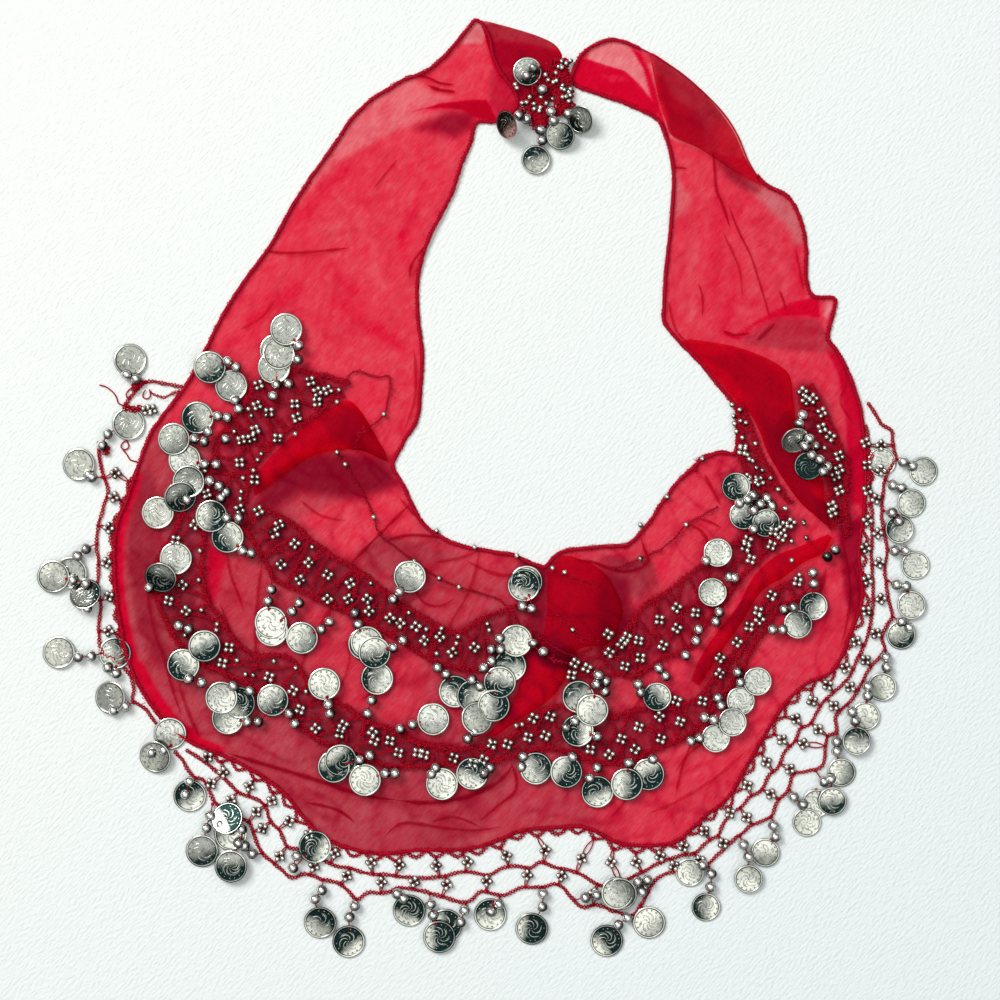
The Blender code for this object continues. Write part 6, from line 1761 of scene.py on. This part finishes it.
def crochet_left_net():
    """The narrow net along the left, with its loose tails and tangles of thread."""
    threads, seeds = Heap(), Heap()
    dice = np.random.default_rng(23)
    first_row = zigzag(part_of(HEM_LINE, LEFT_FROM, LEFT_TO), 3.0, 11.0)
    chain(threads, first_row, NET_HEIGHT, 43, lie=False)
    outer = smooth_line(OUTER_CHAINS["fringe_left"], 4)
    for x, y in LEFT_CLUSTERS:
        rung(threads, seeds, x, y, first_row, outer)
    for tail in TAILS:
        line = smooth_line(tail, 5)
        tube(threads, np.column_stack([line, 0.8 + 0.4 * np.sin(np.arange(len(line)))]), 0.4)
    for x, y in TANGLES:
        for k in range(3):
            u, v = x + dice.uniform(-1, 1), y + dice.uniform(-1, 1)
            knot(threads, (u, v, 1.6 + 0.5 * k), dice.uniform(1.4, 2.6))
    finish_border("net_left", threads, seeds=seeds)


crochet_left_net()

# %% Outermost chains and their drops
def crochet_fringe(name, seed):
    """An outermost chain with its drops."""
    threads, beads, coins = hang_border(name, on_cloth=False)
    chain(threads, smooth_line(OUTER_CHAINS[name], 4), 1.0, seed, lie=False)
    finish_border(name, threads, beads, coins)


for number, name in enumerate(OUTER_CHAINS):
    crochet_fringe(name, 51 + number)

# %% [markdown]
# ## Lace on the cloth
#
# The two inner borders are the same lace, sewn down along a chain. Each is worked in cells between its
# chains, with clusters where the cells meet, and it lies a little crooked, as thread does.

# %% Lines and cells of a band
WEB_STEP = 8.5
BAND_SLACK = 6.0


def band_line(rows, share):
    """A line along a band, at a share of the way from its upper to its lower edge."""
    table = np.asarray(rows, float)
    return table[:, 0:2] + (table[:, 2:4] - table[:, 0:2]) * share


def wander(line, seed):
    """A line pulled a little out of its course here and there, as limp crochet lies."""
    line = even_line(line, 4.0)
    dice = np.random.default_rng(seed)
    sway = np.convolve(dice.normal(0, 1.5, len(line) + 4), np.ones(5) / 5 ** 0.5, mode="valid")
    return line + sideways(line) * sway[:, None] * 0.6


def inside_band(rows, x, y):
    """Whether a place lies on a band or close to it."""
    middle = smooth_line(band_line(rows, 0.5), 4)
    widths = smooth_line(np.hypot(*(band_line(rows, 0.0) - band_line(rows, 1.0)).T)[:, None], 4)[:, 0]
    k = nearest_number(middle, x, y)
    return hypot(middle[k, 0] - x, middle[k, 1] - y) < widths[k] / 2 + BAND_SLACK


def web(threads, upper, lower, dice):
    """A chain that runs to and fro between two lines, a point on one and then a point on the other."""
    upper, lower = even_line(upper, 1.0), even_line(lower, 1.0)
    count = max(int(min(len(upper), len(lower)) / WEB_STEP), 2)
    shares = np.clip((np.arange(count + 1) + dice.uniform(-0.35, 0.35, count + 1)) / count, 0, 1)
    corners = []
    for k, share in enumerate(shares):
        line = upper if k % 2 else lower
        corners.append(line[int(share * (len(line) - 1))])
    bent = []
    for a, b in zip(corners, corners[1:]):
        bow = dice.uniform(-0.14, 0.14)
        bent += [a, (a + b) / 2 + bow * np.array([a[1] - b[1], b[0] - a[0]])]
    line = smooth_line([*bent, corners[-1]], 3)
    chain(threads, line, dice.uniform(0.8, 1.3), int(dice.integers(1000)), size=0.85)


print("a web turns every", WEB_STEP, "mm")

# %% Crochet the bands
used_clusters = set()


def lace_clusters(threads, seeds, rows, lines, seed, dice):
    """The clusters that lie on a band and that no band has yet, tied to its two nearest chains."""
    for x, y in LACE_CLUSTERS:
        if inside_band(rows, x, y) and (x, y) not in used_clusters:
            used_clusters.add((x, y))
            cluster(seeds, threads, x, y, 0.4 + 0.1 * seed + dice.uniform(-0.3, 0.3))
            ends = [nearest(line, x, y) for line in lines]
            for end in sorted(ends, key=lambda p: hypot(p[0] - x, p[1] - y))[:2]:
                if hypot(end[0] - x, end[1] - y) > 2.0:
                    chain(threads, [(x, y), (end + (x, y)) / 2, end], 1.0, int(dice.integers(1000)), size=0.8)


def lace_band(name, rows, cells, seed):
    """One band: its chains, the webs between them, its clusters and its drops."""
    threads, beads, coins = hang_border(name)
    seeds = Heap()
    lines = [wander(smooth_line(band_line(rows, k / cells), 4), seed + k) for k in range(cells + 1)]
    dice = np.random.default_rng(seed)
    for k in (0, cells):
        chain(threads, lines[k], 0.8, seed + k)
        coil(threads, lines[k], 1.1, 1.9, 3.0, seed + 20 + k)
    for k, (upper, lower) in enumerate(zip(lines, lines[1:])):
        web(threads, *((upper, lower) if k % 2 else (lower, upper)), dice)
    lace_clusters(threads, seeds, rows, lines, seed, dice)
    finish_border(name, threads, beads, coins, seeds)


for number, (name, (cells, rows)) in enumerate(BANDS.items()):
    lace_band(name, rows, cells, 61 + 5 * number)
print("clusters sewn on:", len(used_clusters))

# %% [markdown]
# ## Waist chains and the knot
#
# Thin chains with single beads run along the waist and across the cloth between the lace bands. At the
# top the two ends of the lace are tied in one knot. A true knot could be traced strand by strand, but the
# eye only finds coils of thread with beads in them, so short coils are thrown at random inside its outline.

# %% Waist chains
WAIST_CHAINS = [
    [(-82.5, 62.5), (-77, 68), (-64.5, 64.5), (-57, 64), (-59, 47.5), (-60.5, 43), (-68.5, 35.5),
     (-74.5, 29.5), (-78.5, 23)],
    [(-87.5, 20.5), (-83, 14), (-80, 9.5), (-71.5, -5), (-66.5, -16.5), (-63, -26.5), (-53, -34.5),
     (-43, -42), (-28.5, -52), (-17, -57), (1, -62.5), (7, -65), (12.5, -71.5)],
    [(34.5, -73), (39.5, -73), (44.5, -77.5), (48.5, -81.5), (53, -86), (64.5, -88.5)],
    [(41.5, -50), (64.5, -56)],
    [(71.5, -46), (79, -44.5), (88, -40.5), (99.5, -35.5), (108, -28.5), (114.5, -21), (122.5, -16.5),
     (133, -10.5)],
    [(120, 9.5), (121, 15.5), (125.5, 19.5), (134.5, 21)],
    [(-196.5, 56), (-192.5, 54), (-188, 53), (-183.5, 55), (-179, 57)],
    [(26.5, -82), (33.5, -88.5), (41.5, -93.5), (50, -96.5), (60, -92.5)],
    [(30, -95), (38.5, -98.5), (47.5, -102), (54, -106.5)],
]
WAIST_BEADS = [
    (-60.5, 43), (-66.5, -16.5), (-43, -42), (-28.5, -52), (-17, -57), (48.5, -81.5), (37, -46),
    (44, -48.5), (88, -40.5), (114.5, -21), (88, -21), (103.5, -5), (16.5, -39), (-30, -24.5), (-8, -34),
    (124, 17), (-131.5, 20), (-133.5, 16.5), (-136, 10.5), (-142, 6), (-143, -2), (-143.5, -6),
    (-111.5, 31.5), (-86.5, 57), (-87.5, 50), (-87.5, 21), (-83, 14), (-147, 33), (-137, 42), (-139, 46),
    (168, -0.5), (172, -11.5), (155, 12), (182.5, -19.5), (184, -28.5), (175.5, -30.5), (139, -0.5),
    (167.5, -0.5), (171.5, -11.5), (182.5, -20), (142, 42), (143.5, 33), (150, 19.5), (145.5, 45.5),
    (147, 29.5), (142.5, 37.5), (146, 39), (149, 24.5), (153, 16), (158.5, 10.5), (163.5, 6), (180, -50),
    (175, -41.5), (141, 48.5), (149, 38), (146, 24.5), (151, 17), (154.5, 26), (194.5, 23.5), (-167, -36),
    (-167.5, -53), (-166, -70.5), (-157, -78.5), (-145.5, -99.5), (-140.5, -107.5), (-136, -108),
    (-124, -100), (-111.5, -104), (-105.5, -117.5), (-157.5, -82), (-175.5, -85), (-102, -34), (-30, -95.5),
    (1.5, -147), (19.5, -136.5), (16, -137), (-18.5, -89.5), (-27, -81), (-46, -72), (-36, -81.5),
    (-68, -55), (-0.5, -78.5), (0.5, -82), (-17.5, -86),
]


def crochet_waist():
    """Thin chains along the waist, with single seed beads."""
    threads, seeds = Heap(), Heap()
    for number, line in enumerate(WAIST_CHAINS):
        chain(threads, smooth_line(line, 4), 0.6, 81 + number, size=0.62)
    for x, y in WAIST_BEADS:
        bead(seeds, x, y, ground_under(x, y, 1.5) + SEED_RADIUS + 0.2, 0.3, large=False)
    finish_border("waist_chain", threads, seeds=seeds)


crochet_waist()

# %% Knot
# X and Y of the knot's left edge, then of its right edge, from its top down; and its seed beads.
KNOT = [
    (37.5, 246, 45, 247.5), (35, 240.5, 46.5, 240.5), (32, 234.5, 47.5, 233.5), (25, 229.5, 48, 227),
    (19.5, 225.5, 48.5, 222), (17, 220.5, 45, 218), (23, 215.5, 37, 215), (27.5, 210, 31, 210),
]
KNOT_SEEDS = [
    (15.5, 233.5), (16.5, 231.5), (30.5, 226.5), (19.5, 223), (22, 223.5), (26.5, 222.5), (26.5, 219.5),
    (30, 220.5), (29.5, 218.5), (47.5, 247.5), (45, 246), (42.5, 247), (41.5, 245), (42.5, 243.5),
    (40.5, 244), (34.5, 236.5), (37.5, 235), (39.5, 236), (43, 233), (44, 230.5), (42.5, 231.5),
    (47.5, 231), (46.5, 229.5), (47.5, 227.5), (43, 226.5), (45, 226.5), (46.5, 224), (33, 239),
    (39, 240.5), (24, 226.5), (33.5, 223), (37, 225.5),
]


def crochet_knot():
    """The ends of the lace tied together: thread wound on thread, with its beads caught in it."""
    threads, beads, coins = hang_border("knot_fringe")
    seeds = Heap()
    dice = np.random.default_rng(19)
    for share in (0.05, 0.25, 0.5, 0.75, 0.95):
        chain(threads, smooth_line(band_line(KNOT, share), 4), 1.6, int(90 + 10 * share))
    for row in smooth_line(KNOT, 4):
        for t in dice.uniform(0, 1, 4):
            x, y = row[:2] + (row[2:4] - row[:2]) * t
            z = ground_under(x, y, 2.0) + dice.uniform(1.5, 3.4)
            knot(threads, (x, y, z), dice.uniform(1.6, 3.4), dice.uniform(0.4, 0.65))
    for x, y in KNOT_SEEDS:
        z = ground_under(x, y, 2.0) + dice.uniform(3.2, 4.4)
        bead(seeds, x, y, z, dice.uniform(0, 3), large=False)
    finish_border("knot_fringe", threads, beads, coins, seeds)


crochet_knot()

# %% [markdown]
# ## Stray fibres
#
# The thread is a soft one, and small loops stand off wherever it is worked. They make its edges look
# fuzzy. Fine hair as curves would render well but could not be handed on, so each loop is a three-sided tube.

# %% Stray fibres
HEM_END = (200.0, -100.0)
FIBRE_RADIUS = 0.24


def fibre_lines():
    """The lines that fibres stand off, with their spread and their number in a millimetre."""
    lines = [(band_line(rows, share), 0.9, 0.55) for _, rows in BANDS.values() for share in (0.0, 0.5, 1.0)]
    lines += [(band_line(KNOT, share), 1.6, 2.2) for share in (0.2, 0.5, 0.8)]
    lines += [(line, 0.8, 0.25) for line in WAIST_CHAINS]
    return [*lines, (part_of(HEM_LINE, LEFT_FROM, HEM_END), 0.9, 0.4)]


def stray_fibres():
    """Small loose loops that stand off the worked edges, most of them where the lace is sewn down."""
    heap = Heap()
    dice = np.random.default_rng(57)
    for line, spread, closeness in fibre_lines():
        line = even_line(smooth_line(line, 4), 1.0)
        for _ in range(int(len(line) * closeness)):
            x, y = line[int(dice.integers(len(line)))] + dice.normal(0, spread, 2)
            turn = dice.uniform(0, 2 * pi) + dice.uniform(1.5, 4.5) * np.linspace(0, 1, 6)
            size = dice.uniform(0.7, 1.9)
            flat = np.column_stack([x + size * np.cos(turn), y + 0.7 * size * np.sin(turn)])
            tube(heap, lift(flat, dice.uniform(1.0, 2.4)), FIBRE_RADIUS, sides=3)
    heap.object("stray_fibres", FIBRE_HIGHLIGHT_RED, "thread")


stray_fibres()

# %% [markdown]
# ## Loose drops
#
# Some drops have slipped over or under the rest. Their coins lie where they fell.

# %% Loose drops and lone beads
# X and Y of the coin, its layer and tilt, and the places of its beads.
LOOSE_DROPS = [
    (129.5, -60, 1, 0, [(139, -51), (142, -51.5)]), (116.5, -222.5, 0, 0, [(124, -218)]),
    (-121, 78, 0, 14, [(-122.5, 60)]), (-124, 70, 1, 0, [(-124.5, 53.5)]), (-178, -5, 0, 24, []),
    (-181, -40.5, 0, 0, [(-196, -57.5)]), (-189, -51.5, 1, 26, []),
    (-125.5, -82, 0, 0, [(-113.5, -71), (-109.5, -66)]), (-70.5, -89, 0, 0, []),
    (16, -88, 1, 0, [(6.5, -86.5), (7, -93), (2, -93)]), (20.5, -56, 0, 0, [(31.5, -94), (26, -89.5)]),
    (12.5, -102.5, 0, 0, []), (3, -125.5, 0, 0, []), (-6.5, -132.5, 1, 18, [(-8, -140.5), (-12, -144.5)]),
    (52, -120.5, 0, 0, [(50, -134.5), (45, -138.5)]), (51.5, -140, 1, 0, [(63, -143.5)]),
    (160.5, -20, 0, 10, []), (176.5, 27.5, 0, 34, [(181, 42.5), (179, 37.5)]), (184.5, 13, 0, 10, []),
    (-164, -91, 1, 12, [(-179, -79), (-173, -81)]), (-144, -124, 0, 10, [(-138, -117)]),
    (-125, -122.5, 0, 0, [(-115, -130), (-112, -136)]), (-85.5, -157, 0, 12, []),
    (-9.5, -165, 0, 0, [(1, -161.5), (-2.5, -165)]), (-233, -61, 0, 30, [(-237.5, -66), (-232.5, -69.5)]),
    (-216.5, -95.5, 0, 0, [(-220.5, -103.5), (-215.5, -107)]), (-184.5, -142, 0, 0, []),
    (-151, -190.5, 1, 24, [(-155, -194.5), (-149, -197.5)]),
    (-100.5, -207.5, 1, 0, [(-111, -212.5), (-113, -219.5)]),
    (76.5, -234.5, 1, 10, [(92, -226.5), (86.5, -227.5)]), (190, -182.5, 0, 0, []), (228, 15.5, 0, 0, []),
]
LONE_BEADS = [
    (184.5, 28.5), (182, 24), (189, 24.5), (186, 19), (190.5, 16.5), (196, 13), (192.5, 9.5), (149.5, -6.5),
    (154, -4), (161, -5.5), (164, -10), (144.5, -8.5), (157, -9), (153, -12.5), (133.5, -71.5),
    (131.5, -77), (121.5, -81.5), (120, -88), (114, -96.5), (153, -23.5), (200.5, -35.5), (196, -39.5),
    (63.5, -107.5), (68, -111.5), (67.5, -117.5), (56, -236.5), (62.5, -235), (89, -233.5), (22, 238),
    (26, 242.5), (31, 230.5), (36, 218), (37.5, 212), (17.5, 215), (-162, 33), (-152, 28.5), (-151.5, -2),
    (-154.5, -5.5), (-115.5, 60.5), (98.5, -104), (102.5, -108.5), (171, -70), (176, -68.5),
]


def top_under(x, y):
    """Height of whatever a bead would rest on at a place: cloth, floor or the highest coin there."""
    tops = [top for u, v, top in coin_tops if hypot(x - u, y - v) < COIN_RADIUS + 1.0]
    return max([ground_under(x, y, 2.5), *tops])


def lay_loose():
    """The drops and beads that lie over the rest."""
    heaps = threads, beads, coins = Heap(), Heap(), Heap()
    for x, y, layer, tilt, places in LOOSE_DROPS:
        on_cloth = float(ground([x], [y])[0]) > 0
        hang(heaps, [*places[:1], *places], (x, y), layer, radians(tilt), on_cloth)
    for x, y in LONE_BEADS:
        bead(beads, x, y, top_under(x, y) + LARGE_RADIUS + 0.1, 0.7)
    threads.object("loose_thread", CRIMSON, "thread")
    beads.object("loose_beads", BEAD_SILVER, "coins")
    coins.object("loose_coins", COIN_SILVER, "coins")


lay_loose()

# %% [markdown]
# ## Sizes
#
# The script prints the triangles in all and the area of each cloth piece as it lies. The whole cut
# is 1.45 m long and 0.24 m deep, and the folds take up what the crescent doesn't show. The boxes before and
# after show how far the scarf grows past its solids: a millimetre at the sides, more where beads are piled.


def mesh_area(made):
    """Area of a piece in square metres."""
    return sum(p.area for p in made.data.polygons)


shown = [o for o in bpy.data.objects if o.type == "MESH" and not o.hide_render and o.name != "floor"]
print("triangles in all:", sum(len(p.vertices) - 2 for o in shown for p in o.data.polygons))
print("crescent area in m2:", round(mesh_area(crescent), 4))
for name, made in folds.items():
    area = mesh_area(made)
    print(name, "area in m2:", round(area, 5))
made_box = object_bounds()
sides = zip([*made_box[0], *made_box[1]], [*cad_box[0], *cad_box[1]])
print("growth in mm:", [round((made - cad) / MM, 1) for made, cad in sides])
